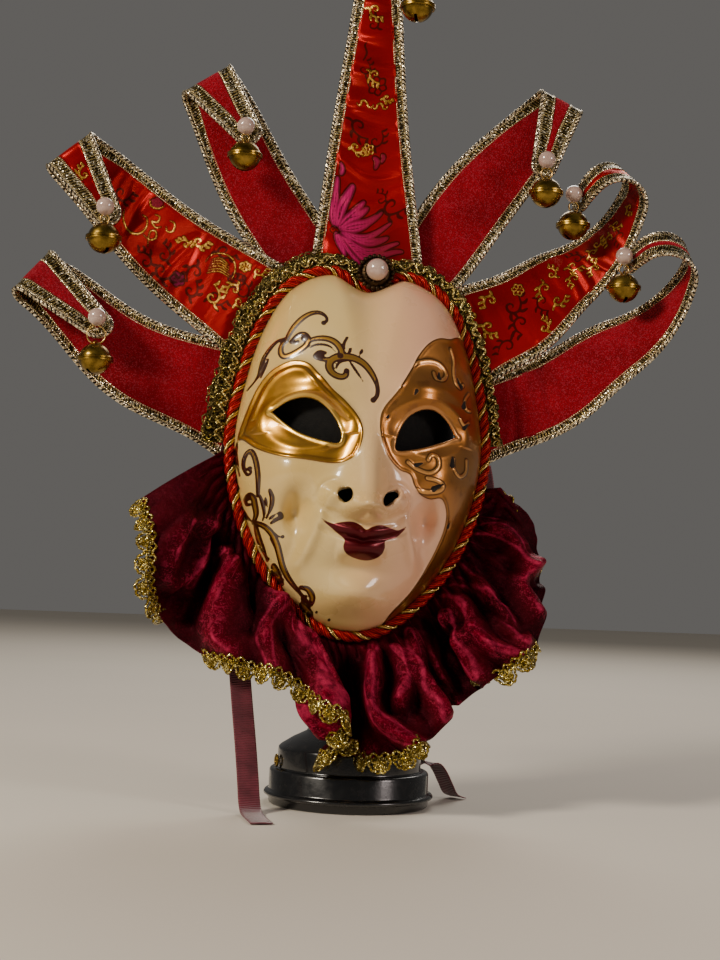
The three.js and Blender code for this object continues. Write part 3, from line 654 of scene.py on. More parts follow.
def faceForm(u, w, rho):
    s = faceSet["nose"]
    dome = faceSet["depth"] * np.sqrt(np.maximum(1 - rho**2.2, 0))
    rise = np.clip((s["top"] - w) / (s["top"] - s["tip"]), 0, 1)
    fall = np.clip((s["tip"] - w) / (s["tip"] - s["base"]), 0, 1)
    ridge = np.where(w > s["tip"], rise**1.5, np.cos(math.pi / 2 * fall) ** 2)
    wide = s["bridge"] + (s["tipWidth"] - s["bridge"]) * rise**1.3
    forms = s["height"] * ridge * np.exp(-np.abs(u / wide) ** 2.2)
    for fu, fw, su, sw, high in faceSet["forms"]:
        forms = forms + high * np.exp(-(((u - fu) / su) ** 2) - ((w - fw) / sw) ** 2)
        if fu:
            forms = forms + high * np.exp(-(((u + fu) / su) ** 2) - ((w - fw) / sw) ** 2)
    side = np.abs(u)
    # crease round the wing of the nose, and the soft fold that runs from it past the mouth
    ring = np.hypot(side - 17, w + 35)
    outside = smoothStep((side - 15) / 6 + 0.2 * (w > -34)) * smoothStep((w + 47) / 5)
    outside = outside * smoothStep((-20 - w) / 6)
    forms = forms - 1.7 * hill(ring - 10.5, 1.7) * outside
    cheekFold = side - (25 - 0.17 * (w + 40) + 0.0035 * (w + 40) ** 2)
    reachDown = smoothStep((w + 82) / 16) * smoothStep((-32 - w) / 12)
    forms = forms + (3.4 * hill(cheekFold, 4.2) - 2.2 * hill(cheekFold - 8.5, 4.5)) * reachDown
    # lids: a soft swelling above and below the eye hole
    lid = np.hypot((side - 37) / 27, (w - 9.5) / 17.5)
    forms = forms + 2.0 * hill(lid - 1.0, 0.16) * (w > 3) + 0.9 * hill(lid - 0.93, 0.14) * (w <= 3)
    # lips: upper bow, lower swell, and the line between them
    bow = -59 + 0.010 * u**2 - 1.2 * hill(u, 3.5)
    reach = np.clip(1 - (side / 27) ** 2, 0, 1) ** 0.5
    forms = forms + 3.6 * reach * hill(w - bow - 4.6, 3.6) * (1 - 0.35 * hill(u, 2.4))
    low = np.clip(1 - (side / 15) ** 2, 0, 1) ** 0.5
    forms = forms + 4.6 * low * hill(w + 65.3, 4.4)
    forms = forms - 2.6 * reach * hill(w - bow, 1.3)
    # groove from nose to lip
    forms = forms - 1.3 * hill(u, 3.0) * hill(w + 50, 3)
    return dome + forms * (1 - rho**11)


def makeFace():
    cols, rows = faceSet["columns"] + 1, faceSet["rows"] + 1
    s, t = np.meshgrid(np.linspace(-1, 1, cols), np.linspace(-1, 1, rows))
    x, z = (s * np.sqrt(1 - t**2 / 2)).ravel(), (t * np.sqrt(1 - s**2 / 2)).ravel()
    disc = np.hypot(x, z)
    # even steps in the middle, closer ones where the face turns down to its rim
    knee = 0.86
    rho = np.where(disc < knee, 2 * disc / (1 + knee), 1 - (1 - disc) ** 2 / (1 - knee**2))
    rho = np.clip(rho, 0, 1)
    farAt = rimDistance(1440, faceSet["edge"])
    angle, far = np.arctan2(x, z), farAt(x, z)
    flat = np.stack([np.sin(angle) * rho * far, np.cos(angle) * rho * far], 1)
    faces = gridFaces(rows, cols)

    holes = [curveThrough(hole, 24, closed=True) for hole in faceSet["eyeHoles"]]
    turn = np.linspace(0, 2 * math.pi, 48, endpoint=False)
    for nu, nw, halfWide, halfTall, tilt in faceSet["nostrils"]:
        way = np.array([math.cos(math.radians(tilt)), math.sin(math.radians(tilt))])
        over = np.array([-way[1], way[0]])
        long = np.outer(halfWide * np.cos(turn), way)
        short = np.outer(halfTall * np.sin(turn), over)
        holes.append(np.array([nu, nw]) + long + short)
    middle = flat[faces].mean(1)
    keep = np.ones(len(faces), bool)
    for hole in holes:
        keep &= ~insideOutline(middle, hole)
    # a corner left in the hole by both its sides goes too
    for _ in range(2):
        inHole = np.zeros(len(flat), bool)
        for hole in holes:
            inHole |= insideOutline(flat, hole)
        keep &= inHole[faces].sum(1) < 3
    faces = faces[keep]
    used = np.unique(faces)
    index = np.full(len(flat), -1)
    index[used] = np.arange(len(used))
    faces, flat, rho = index[faces], flat[used], rho[used]

    # the hole's edge points go onto the outline, their neighbours follow a little
    sides = np.sort(np.concatenate([faces[:, [i, (i + 1) % 4]] for i in range(4)]), 1)
    pairs, count = np.unique(sides, axis=0, return_counts=True)
    border = pairs[count == 1]
    onBorder = np.zeros(len(flat), bool)
    onBorder[border.ravel()] = True
    outerEdge = rho > 0.9999
    holeEdge = onBorder & ~outerEdge
    dense = [evenly(closedUp(h), 0.15) for h in holes]
    for i in np.flatnonzero(holeEdge):
        nearest = [h[np.argmin(np.hypot(*(h - flat[i]).T))] for h in dense]
        flat[i] = min(nearest, key=lambda p: np.hypot(*(p - flat[i])))
    near = np.zeros(len(flat), bool)
    near[holeEdge] = True
    for _ in range(3):
        near[pairs[near[pairs].any(1)].ravel()] = True
    moving = near & ~onBorder
    for _ in range(8):
        total = np.zeros_like(flat)
        number = np.zeros(len(flat))
        np.add.at(total, pairs[:, 0], flat[pairs[:, 1]])
        np.add.at(total, pairs[:, 1], flat[pairs[:, 0]])
        np.add.at(number, pairs.ravel(), 1)
        mean = total / number[:, None]
        flat[moving] = 0.5 * flat[moving] + 0.5 * mean[moving]

    u, w = flat.T
    rho = np.where(outerEdge, 1, np.minimum(np.hypot(u, w) / farAt(u, w), 0.99999))
    gold = signedDistance(flat, curveThrough(faceSet["goldPatch"], 8, closed=True))
    bronze = signedDistance(flat, curveThrough(faceSet["bronzePatch"], 8, closed=True))
    lips = signedDistance(flat, curveThrough(faceSet["lips"], 6, closed=True))
    eyes = np.minimum(*[distanceTo(flat, closedUp(h)) for h in holes[:2]])
    painted = np.full(len(flat), unmarked)
    for line, half in paintedScrolls:
        path = evenly(curveThrough(line, 10), 0.6)
        run = np.linspace(0, 1, len(path))
        box = ((flat > path.min(0) - 6) & (flat < path.max(0) + 6)).all(1)
        # strokes swell in the middle and end in a point
        for p, r in zip(path, run):
            thick = half * (0.65 + 0.6 * math.sin(math.pi * min(r * 1.12 + 0.06, 1)) ** 0.7)
            painted[box] = np.maximum(painted[box], thick - np.hypot(*(flat[box] - p).T))
    drops = np.full(len(flat), unmarked)
    for du, dw, size in paintedDrops:
        drops = np.maximum(drops, size - np.hypot(u - du, w - dw))
    drops = np.where((gold > 0) | (bronze > 0), unmarked, drops)
    painted = np.maximum(painted, drops * 0.9)
    raised, pits = np.full(len(flat), unmarked), np.full(len(flat), unmarked)
    for line, half in bronzeScrolls:
        raised = np.maximum(raised, half - distanceTo(flat, evenly(curveThrough(line, 10), 0.6)))
    for pu, pw, tailU, tailW, size in bronzePits:
        for part in np.linspace(0, 1, 6):
            far = np.hypot(u - pu - part * tailU, w - pw - part * tailW)
            pits = np.maximum(pits, size * (1 - 0.65 * part) - far)

    def height(a, b):
        return faceForm(a, b, np.where(outerEdge, 1, np.minimum(np.hypot(a, b) / farAt(a, b), 1)))

    high = height(u, w)
    e = 0.2
    slopeU = (height(u + e, w) - height(u - e, w)) / (2 * e)
    slopeW = (height(u, w + e) - height(u, w - e)) / (2 * e)
    normal = np.stack([-slopeU, -np.ones(len(u)), -slopeW], 1)
    normal[outerEdge] = np.stack([u, 0 * u, w], 1)[outerEdge]
    normal = unit(normal)
    f = faceSet["frame"]

    def bead(d, at):
        return f["height"] * hill(d - at, f["width"])

    lift = bead(gold, 0.8) + 0.8 * bead(gold, 0.8 + 2 * f["goldGap"]) * (w > 12)
    lift = lift + np.where(bronze > -3, bead(bronze, 0.9), 0) + 0.7 * bead(eyes, 1.0)
    lift = lift + 0.85 * smoothStep((raised + 0.7) / 1.4) * (bronze > 0)
    lift = lift + 0.4 * smoothStep(painted / 1.2)
    lift = lift - 0.6 * smoothStep((pits + 0.4) / 1.2)
    lift = lift * (1 - rho**30)
    points = np.stack([u, -high, w], 1) + normal * lift[:, None]
    obj = meshFrom("faceShell", fromMask(points), faces[:, ::-1])
    mark(obj, gold=gold, bronze=bronze, lips=lips, eyes=eyes, painted=painted, drops=drops,
         raised=raised, pits=pits, sideways=u)
    return obj, onBorder


def faceMaterial():
    material, shader = newMaterial("facePaint", Coat_Weight=0.85, Coat_Roughness=0.04,
                                   Specular_IOR_Level=0.5)
    gold, bronze, lips = (attribute(n) for n in ("gold", "bronze", "lips"))
    painted, raised, eyes, pits = (attribute(n) for n in ("painted", "raised", "eyes", "pits"))
    sideways = attribute("sideways")
    # cream with painted light: yellower on the left for the warm key light, rosier on the right for
    # the rosy fill light
    creamAndPaintedLight = laid("dabb70", (drift(14, 0, 1, 3), "e6cb8c"), (ramp(sideways, -25, 40), "ecb692"),
                 (ramp(sideways, -78, -15, 0.6, 0), "d2a850"))
    # gold with a dark edge, a dark line beside it, a painted shadow round the eye hole and a
    # painted highlight on the bead round it
    goldTone = laid(
        "b97f1f", (drift(40, 0, 1, 4), "dba63c"), (ramp(gold, 0.0, 1.3, 0.8, 0), "54300c"),
        (ramp(farFrom(gold, 2.9), 0.2, 1.0, 0.55, 0), "6b4212"),
        (ramp(maths("SUBTRACT", eyes, 3.0), 0.0, 4.5, 0.5, 0), "7a4c12"),
        (ramp(eyes, 2.0, 2.8, 0.7, 0), "f0c45a"))
    # bronze with patina, with painted shade beside its raised scrolls and a painted highlight on
    # them, a dark edge, and a painted highlight on the bead round the eye hole
    bronzeTone = laid(
        "9a5e28", (drift(30, 0, 1, 3), "c08442"), (drift(110, -0.75, 0.42, 6), "5a331a"),
        (ramp(raised, -1.3, -0.35, 0, 0.8), "2f180b"), (ramp(raised, -0.3, 0.25), "dea05a"),
        (ramp(bronze, 0.0, 1.3, 0.75, 0), "43260f"), (ramp(eyes, 1.8, 2.8, 0.6, 0), "d89a5e"))
    # the pits are near-black: painted shade for the dark inside them
    isPit = ramp(pits, 0.0, 0.3)
    isGold = ramp(gold, -0.15, 0.15)
    isBronze = ramp(bronze, -0.15, 0.15)
    isLip = ramp(lips, -0.2, 0.2)
    isStroke = ramp(painted, -0.05, 0.2)
    inStroke = ramp(painted, 1.05, 1.55)
    inStroke = times(inStroke, ramp(attribute("drops"), -0.5, 0.4, 1, 0))
    strokeTone = mixColour(inStroke, "341507", "c8963a")
    lipTone = mixColour(drift(60), "4c040e", "640816")
    feed(shader, "Base Color", laid(
        creamAndPaintedLight, (isStroke, strokeTone), (isLip, lipTone), (isGold, goldTone), (isBronze, bronzeTone),
        (isPit, "120703")))
    metal = larger(times(isGold, 0.95), times(isBronze, 0.9))
    metal = larger(metal, times(times(isStroke, inStroke), 0.85))
    bare = larger(metal, times(isLip, 0.7))
    feed(shader, "Metallic", times(bare, ramp(pits, 0.0, 0.3, 1, 0)))
    rough = mixValue(metal, uneven(30, 0.24, 0.34), uneven(50, 0.3, 0.4))
    rough = mixValue(isLip, rough, 0.3)
    feed(shader, "Roughness", mixValue(isPit, rough, 0.9))
    coat = mixValue(isBronze, mixValue(isLip, 0.85, 0.1), 0.3)
    feed(shader, "Coat Weight", mixValue(isPit, coat, 0.0))
    fine = times(uneven(420, 0, 1, 2), 0.25)
    bumpInto(shader, plus(fine, uneven(60, 0, 1, 2)), 0.00025, 0.3)
    return material


def innerFaceMaterial():
    material, shader = newMaterial("faceInside", Roughness=0.7)
    feed(shader, "Base Color", mixColour(uneven(60), "2b231c", "4a3f33"))
    bumpInto(shader, uneven(200), 0.0003, 0.6)
    return material


face, faceBorder = makeFace()
dress(face, faceMaterial())
face.data.materials.append(innerFaceMaterial())
applyModifier(face, "SOLIDIFY", thickness=faceSet["wall"] * mm, offset=-1, material_offset=1,
              material_offset_rim=0, use_even_offset=False)
coarsen(face, np.flatnonzero(~faceBorder) + len(faceBorder), faceSet["insideKept"])
standFor(face, "face_shell", "porcelain")
print("face", len(face.data.polygons))


# the twisted rope on the rim

def ropeLine(count):
    along = np.arange(count) / count
    return along, besideRim(along, 0, -ropeSet["radius"] - ropeSet["gap"])


# one strand of the rope: threads side by side, wound round its middle from a place in turns
def ropeStrand(name, phase, wound, radius, threads, material):
    count, around = ropeSet["turns"] * ropeSet["perTurn"], threads * ropeSet["perThread"]
    along, middle = ropeLine(count)
    turn = 2 * math.pi * (phase + ropeSet["turns"] * along)
    ahead = besideRim(along, 1, 0) - besideRim(along, 0, 0)
    forward = np.array([0, -1.0, 0])
    line = middle + wound * (np.cos(turn)[:, None] * ahead + np.sin(turn)[:, None] * forward)
    tangent = unit(np.roll(line, -1, 0) - np.roll(line, 1, 0))
    away = squareTo(tangent, line - middle)
    side = np.cross(tangent, away)
    angle = np.arange(around) * 2 * math.pi / around
    groove = 0.5 - 0.5 * np.cos(threads * angle)
    size = radius * (0.84 + 0.16 * groove**0.6)
    outward, beside = (np.cos(angle) * size)[:, None], (np.sin(angle) * size)[:, None]
    ring = away[:, None] * outward + side[:, None] * beside
    obj = meshFrom(name, fromMask((line[:, None] + ring).reshape(-1, 3)),
                   tubeFaces(count, around, True))
    mark(obj, along=np.repeat(turn, around), groove=np.tile(groove, count))
    return dress(obj, material)


def ropeMaterials():
    satin, shader = newMaterial("ropeSatin", Roughness=0.26, Metallic=0.3, Specular_IOR_Level=0.8,
                                Specular_Tint=(1, 0.3, 0.2, 1))
    groove = attribute("groove")
    fibre = sineOf(attribute("along"), 60.0)
    # the valleys between the threads are painted dark: painted shade
    feed(shader, "Base Color", laid(
        "9c0b0a", (drift(90), "c4140f"), (ramp(groove, 0.02, 0.75, 0.95, 0), "240103")))
    bumpInto(shader, fibre, 0.00006, 0.4)
    gilt, shader = newMaterial("ropeGilt", Roughness=0.24, Metallic=1.0)
    groove = attribute("groove")
    fibre = sineOf(attribute("along"), 30.0)
    # the valleys between the threads are painted dark: painted shade
    feed(shader, "Base Color", laid(
        "a87f2c", (ramp(fibre, -1, 1), "ffe08a"), (ramp(groove, 0.02, 0.6, 0.95, 0), "2a1804")))
    bumpInto(shader, fibre, 0.0001, 0.6)
    core, shader = newMaterial("ropeCore", Roughness=0.8)
    feed(shader, "Base Color", mixColour(uneven(200), "2a0303", "4a0807"))
    return satin, gilt, core


def makeRope():
    satin, gilt, core = ropeMaterials()
    threads = [ropeStrand("redStrand", *strand, satin) for strand in ropeSet["red"]]
    threads += [ropeStrand("goldStrand", *strand, gilt) for strand in ropeSet["gilt"]]
    inner = tube("ropeCore", fromMask(ropeLine(240)[1]), ropeSet["core"], 8, closed=True)
    threads.append(dress(inner, core))
    return joined("rimRope", threads)


rope = makeRope()
standFor(rope, "rim_rope", "rope")
print("rope")


# the gimp braid between rope and rays

gimpSet = {
    "from": 0.245, "to": -0.26, "right": 7.3, "left": 11.4, "front": -3.4, "back": -1.0,
    "fall": 2.6, "fan": 24, "fanRise": 4.2, "wave": 8.2, "cord": 0.8, "fallOver": 14, "step": 0.55,
    "columns": 16, "overlap": 0.6, "middle": 3.6, "loopTurns": [-58, -20, 20, 58],
    "loopApart": (4.6, 7.0), "loopThick": (0.42, 0.6), "loopCord": (0.0, 0.45), "loopPoints": 9,
    "loopSides": 4,
}


def gimpMaterial():
    material, shader = newMaterial("gimpGold", Roughness=0.34, Metallic=0.9)
    cord = attribute("cord")
    speck = glitter(1100)
    # the brightest specks are painted glints
    dull = laid("120d05", (speck[0], "4f4119"), (isOver(speck[0], 0.9), "e6d25e"))
    bright = mixColour(maths("POWER", speck[0], 1.6), "4a3a14", "ffe894")
    feed(shader, "Base Color", mixColour(cord, dull, bright))
    feed(shader, "Roughness", mixValue(speck[0], 0.5, 0.2))
    twill = sineOf(attribute("along"), 2 * math.pi / 0.9)
    bumpInto(shader, plus(times(twill, 0.3), speck[1]), 0.0004, 0.8)
    return material


def gimpPlace(part, outward, y):
    return besideRim(gimpSet["from"] + (gimpSet["to"] - gimpSet["from"]) * part, outward, y)


def makeGimp():
    g = gimpSet
    inside = ropeSet["radius"] + ropeSet["gap"] - g["overlap"]
    total = rimLength * (g["from"] - g["to"])
    count, cols = int(total / g["step"]), g["columns"]
    part = np.linspace(0, 1, count)
    run = part * total
    # fans stand out of the outer edge, mostly on the left
    fan = np.abs(np.cos(math.pi * run / g["fan"])) ** 0.6
    base = g["right"] + (g["left"] - g["right"]) * smoothStep(part)
    width = base - 2.8 + g["fanRise"] * fan * (0.12 + 1.1 * smoothStep((part - 0.5) / 0.35))
    r, c = np.meshgrid(run, np.linspace(0, 1, cols), indexing="ij")
    w = width[:, None] * c
    ribs = 0.16 * np.sin(2 * math.pi * (r / 1.6)) * np.sin(math.pi * c)
    edges = 0.75 * hill(w, 0.9) + 0.75 * hill(width[:, None] - w - 0.7, 0.8)
    loops = 0.45 * np.abs(np.sin(math.pi * (r / 3.1 + 0.5 * np.sin(c * 5)))) * (c > 0.55)
    relief = ribs + edges + loops + 0.12 * rng.normal(size=r.shape)
    fall = g["fall"] * (w / g["fallOver"])
    front, back = (gimpPlace(np.repeat(part, cols), (inside + w).ravel(), y.ravel())
                   for y in (g["front"] - fall - relief + 0.5, g["back"] - fall))
    band = meshFrom("gimpBand", fromMask(np.vstack([front, back])), slabFaces(count, cols))
    mark(band, along=np.tile(r.ravel(), 2), cord=np.tile(np.clip(edges * 0.5, 0, 1).ravel(), 2))
    faceOut(band)
    cords = []

    def frontAt(outward):
        return g["front"] - g["fall"] * ((outward - inside) / g["fallOver"])

    def cordOn(name, outward, rise, radius, sides=6):
        line = gimpPlace(part, outward, frontAt(outward) - rise)
        cord = tube(name, fromMask(line), radius, sides)
        mark(cord, cord=np.ones(len(cord.data.vertices)), along=np.repeat(run, sides))
        cords.append(cord)

    swing = 2 * math.pi * run / g["wave"]
    beaded = g["cord"] * (1 + 0.1 * np.sin(2 * math.pi * run / 1.5))
    cordOn("gimpCord", inside + g["middle"] + 2.2 * np.sin(swing), 0.9, beaded, 7)
    cordOn("gimpCord", inside + g["middle"] - 2.0 * np.sin(swing * 1.03 + 0.6), 0.5, 0.5)
    cordOn("gimpEdge", inside + width - 0.4, 0.2,
           0.5 * (1 + 0.18 * np.sin(2 * math.pi * run / 1.9)))
    # fans of small loops on the outer half, irregular as hand-sewn ones are
    sides, corners = g["loopSides"], g["loopPoints"]
    turn = np.linspace(0, 2 * math.pi, corners)
    at = 2.0
    while at < total - 2:
        k = int(at / total * (count - 1))
        reach = width[k] - 2.9 + rng.uniform(-1.2, 1.0)
        for j, angle in enumerate(np.radians(g["loopTurns"]) + rng.uniform(-0.15, 0.15, 4)):
            x, y = reach * (0.5 - 0.5 * np.cos(turn)), 0.34 * reach * np.sin(turn)
            side = x * math.sin(angle) + y * math.cos(angle)
            away = x * math.cos(angle) - y * math.sin(angle)
            spot = np.clip((at + side) / total, 0, 1)
            out = inside + 4.2 + away
            line = gimpPlace(spot, out, frontAt(out) - 0.55 - 0.25 * (j % 2))
            loop = tube("gimpLoop", fromMask(line), rng.uniform(*g["loopThick"]), sides)
            mark(loop, cord=np.full(corners * sides, rng.uniform(*g["loopCord"])),
                 along=np.repeat(np.arange(corners) * 1.1, sides))
            cords.append(loop)
        at += rng.uniform(*g["loopApart"])
    return joined("rimGimp", [dress(o, gimpGold) for o in [band] + cords])


gimpGold = gimpMaterial()
gimp = makeGimp()
standFor(gimp, "rim_lace", "gold_lace")
print("gimp")


# turned shapes: a ring of points drawn up and scaled step by step

def turned(name, profile, sides):
    first = next(i for i, (r, h) in enumerate(profile) if r > 0)
    r, h = profile[first]
    bpy.ops.object.select_all(action="DESELECT")
    bpy.ops.mesh.primitive_circle_add(vertices=sides, radius=r * mm, location=(0, 0, h * mm))
    obj = bpy.context.object
    obj.name = obj.data.name = name
    bpy.ops.object.transform_apply(location=True, rotation=True, scale=True)
    bpy.ops.object.mode_set(mode="EDIT")
    bpy.ops.mesh.select_all(action="SELECT")

    def rise(height):
        bpy.ops.mesh.extrude_edges_move(TRANSFORM_OT_translate={"value": (0, 0, height * mm)})

    if first:
        rise(profile[0][1] - h)
        bpy.ops.mesh.merge(type="CENTER")
        bpy.ops.mesh.select_all(action="DESELECT")
        bpy.ops.object.mode_set(mode="OBJECT")
        for v in obj.data.vertices:
            v.select = abs(math.hypot(v.co.x, v.co.y) - r * mm) < 1e-7
        bpy.ops.object.mode_set(mode="EDIT")
        bpy.ops.mesh.select_mode(type="VERT")
    for (r0, h0), (r1, h1) in zip(profile[first:], profile[first + 1:]):
        rise(h1 - h0)
        if r1 > 0:
            k = r1 / r0
            bpy.ops.transform.resize(value=(k, k, 1), center_override=(0, 0, h1 * mm))
        else:
            bpy.ops.mesh.merge(type="CENTER")
    bpy.ops.mesh.select_all(action="SELECT")
    bpy.ops.mesh.remove_doubles(threshold=1e-6)
    bpy.ops.mesh.normals_make_consistent(inside=False)
    bpy.ops.object.mode_set(mode="OBJECT")
    obj.data.shade_smooth()
    return obj


def sharpen(obj, width, angle=28, segments=3):
    applyModifier(obj, "BEVEL", width=width * mm, segments=segments, limit_method="ANGLE",
                  angle_limit=math.radians(angle))
    only(obj)
    bpy.ops.object.shade_smooth_by_angle(angle=math.radians(40))


# turns a shape made round the upright axis to face forward in the mask's frame
def intoMask(obj, u, y, w):
    turn = Matrix(maskTurn.tolist()) @ Matrix.Rotation(math.radians(90), 3, "X")
    place = Vector(fromMask([u, y, w]) * mm)
    obj.data.transform(Matrix.Translation(place) @ turn.to_4x4())
    obj.data.update()


# crown setting and its pearl

crownSet = {
    "u": 4.5, "w": 116, "radius": 10.4, "height": 4.2, "front": -8.2, "pearl": 7, "seat": 5.25,
    "beads": [(22, 0, 1.6, 10.5, 2.4, 12, 8), (16, 0.5, 0.8, 6.9, 4.2, 10, 6)],
}


def pearlMaterial():
    material, shader = newMaterial("pearlCoat", Roughness=0.16, Coat_Weight=1.0,
                                   Coat_Roughness=0.03, Specular_IOR_Level=0.7)
    feed(shader, "Base Color", mixColour(uneven(150), "c2a99c", "ae9186"))
    bumpInto(shader, uneven(900), 0.00004, 0.5)
    return material


def agedMetalMaterial():
    material, shader = newMaterial("agedBronze", Metallic=0.85, Roughness=0.4)
    feed(shader, "Base Color", mixColour(uneven(320), "1a1008", "4c3820"))
    feed(shader, "Roughness", uneven(500, 0.28, 0.55))
    bumpInto(shader, uneven(700), 0.0002, 0.6)
    return material


def ball(name, radius, at, segments, rings):
    bpy.ops.object.select_all(action="DESELECT")
    bpy.ops.mesh.primitive_uv_sphere_add(segments=segments, ring_count=rings, radius=radius * mm,
                                         location=np.asarray(at, float) * mm)
    obj = bpy.context.object
    obj.name = obj.data.name = name
    applyPlace(obj)
    obj.data.shade_smooth()
    return obj


def makeCrown():
    c = crownSet
    r = c["radius"]
    profile = [(0, 0), (r - 0.6, 0), (r, 0.9), (r - 0.2, 1.8), (8.9, 2.6), (8.2, 3.7),
               (7.2, c["height"]), (6.3, 3.9), (5.7, 2.8), (5.6, 1.2), (0, 1.2)]
    parts = [turned("crownSetting", profile, 72)]
    for count, shift, size, far, high, segments, rings in c["beads"]:
        for i in range(count):
            a = 2 * math.pi * (i + shift) / count
            at = (far * math.cos(a), far * math.sin(a), high)
            parts.append(ball("bead", size, at, segments, rings))
    for p in parts:
        dress(p, agedBronze)
    crown = joined("crownSetting", parts)
    intoMask(crown, c["u"], c["front"], c["w"])
    lift = math.sqrt(c["pearl"] ** 2 - c["seat"] ** 2)
    seatAt = fromMask([c["u"], c["front"] - c["height"] - lift, c["w"]])
    pearl = ball("crownPearl", c["pearl"], seatAt, 48, 28)
    return crown, dress(pearl, pearlCoat)


agedBronze, pearlCoat = agedMetalMaterial(), pearlMaterial()
crown, crownPearl = makeCrown()
for obj, node, slot in ((crown, "crown_setting", "bronze"), (crownPearl, "crown_pearl", "pearl")):
    standFor(obj, node, slot)
print("crown")


# the seven rays of the cap

stripSet = {
    "thick": 1.6, "braid": 7.2, "tipRound": 4.4, "cover": 2, "pearl": 5.5, "inset": 9,
    "backKept": 0.1, "brocadeStep": 0.75, "velvetStep": 1.9,
    "braidStep": 0.7, "cordFrom": 1.4, "drawnShort": 12,
    "folds": {"brocade": [(31, 1.25, 7.5), (77, 0.6, 4)], "velvet": [(51, 0.45, 16)]},
    "front": [-3.6, -3.35, -3.05, -2.75, -2.2, -0.6, 0.6, 0.95, 1.3, 1.5, 1.85, 2.2, 2.6, 3.0, 3.4,
              3.64],
    "behind": [3.64, 3.2, 2.7, 2.1, 1.5, 1.3, 0.6, -2.2, -3.05, -3.6],
}
rays = {
    "left_low": dict(
        u=-78.6, w=28.7, heading=152.6, straight=141.4, root=70, mid=61, fold=41, tip=17.5,
        skew=7.1, radius=6.7, turn=173, tail=56, twist=18, bow=10.3, lean=5.3, layer=8, drop=25.5,
        cloth="velvet"),
    "left_mid": dict(
        u=-61.5, w=82.7, heading=144.9, straight=153.7, root=72, mid=59, fold=39.4, tip=16.5,
        skew=10.9, radius=6.1, turn=173.7, tail=49, twist=3.4, bow=4.9, lean=6.9, layer=2.6,
        drop=19.6, cloth="brocade"),
    "left_top": dict(
        u=-29.7, w=109, heading=123.2, straight=141.9, root=49, mid=55.7, fold=39.8, tip=16,
        skew=-2.8, radius=5.7, turn=173.6, tail=45.3, twist=-0.9, bow=3.9, lean=6.4, layer=8,
        drop=19, cloth="velvet"),
    "centre": dict(
        u=0.3, w=106.1, heading=91.3, straight=215.9, root=76, mid=45, fold=26.6, tip=15,
        skew=-15.3, radius=12, turn=168, tail=46, twist=-9.3, bow=1.7, lean=6.3, layer=2.6, drop=20,
        cloth="brocade"),
    "right_top": dict(
        u=31.1, w=114.5, heading=54.9, straight=147.6, root=46, mid=65, fold=34, tip=15, skew=-10.7,
        radius=6, turn=173.2, tail=50, twist=-1.6, bow=3.5, lean=4.6, lift=4, layer=8.8, drop=21.5,
        cloth="velvet"),
    "right_mid": dict(
        u=66.9, w=81.2, heading=35.7, straight=82.6, root=67.7, mid=56, fold=36.2, tip=17, skew=8.2,
        ease=63.3, easeTurn=45.7, radius=15.2, turn=168.4, tail=22.4, tailTurn=18, twist=-47,
        bow=-4.1, lean=1, lift=-6, layer=2.6, drop=20.5, cloth="brocade"),
    "right_low": dict(
        u=75.6, w=26, heading=31.6, straight=106.3, root=50.3, mid=61.4, fold=27, tip=17.5,
        skew=16.4, creases=[(27, 2.4), (37, -1.2), (50, 2.6)], ease=60, easeTurn=53.3, radius=15.2,
        turn=170, tail=24.4, tailTurn=11.7, twist=-39, bow=-5.3, lean=4.5, lift=7.5, layer=8,
        drop=20.5, cloth="velvet"),
}


def curlAt(distance, ray):
    arcs = [(ray.get("ease", 0), ray.get("easeTurn", 0)),
            (ray["radius"] * math.radians(ray["turn"]), ray["turn"]),
            (ray["tail"] * 1.5, ray.get("tailTurn", 0) * 1.5)]
    along, up, slope = np.minimum(distance, 0), 0 * distance, 0 * distance
    left = np.maximum(distance, 0)
    for length, turn in arcs:
        if length == 0:
            continue
        step = np.minimum(left, length)
        left = left - step
        bend = math.radians(turn) / length
        if bend == 0:
            along, up = along + step * np.cos(slope), up + step * np.sin(slope)
        else:
            along = along + (np.sin(slope + bend * step) - np.sin(slope)) / bend
            up = up + (np.cos(slope) - np.cos(slope + bend * step)) / bend
            slope = slope + bend * step
    return along, up, slope


def curlStart(ray):
    return ray["straight"] + ray.get("ease", 0)


def stripLength(ray):
    return curlStart(ray) + ray["radius"] * math.radians(ray["turn"]) + ray["tail"]


def stripWidth(ray, s):
    t = np.clip(s / curlStart(ray), 0, 1)
    body = ray["root"] * (1 - t) ** 2 + 2 * ray["mid"] * t * (1 - t) + ray["fold"] * t**2
    past = np.clip((s - curlStart(ray)) / (stripLength(ray) - curlStart(ray)), 0, 1)
    return np.where(s > curlStart(ray), ray["fold"] + (ray["tip"] - ray["fold"]) * past, body)


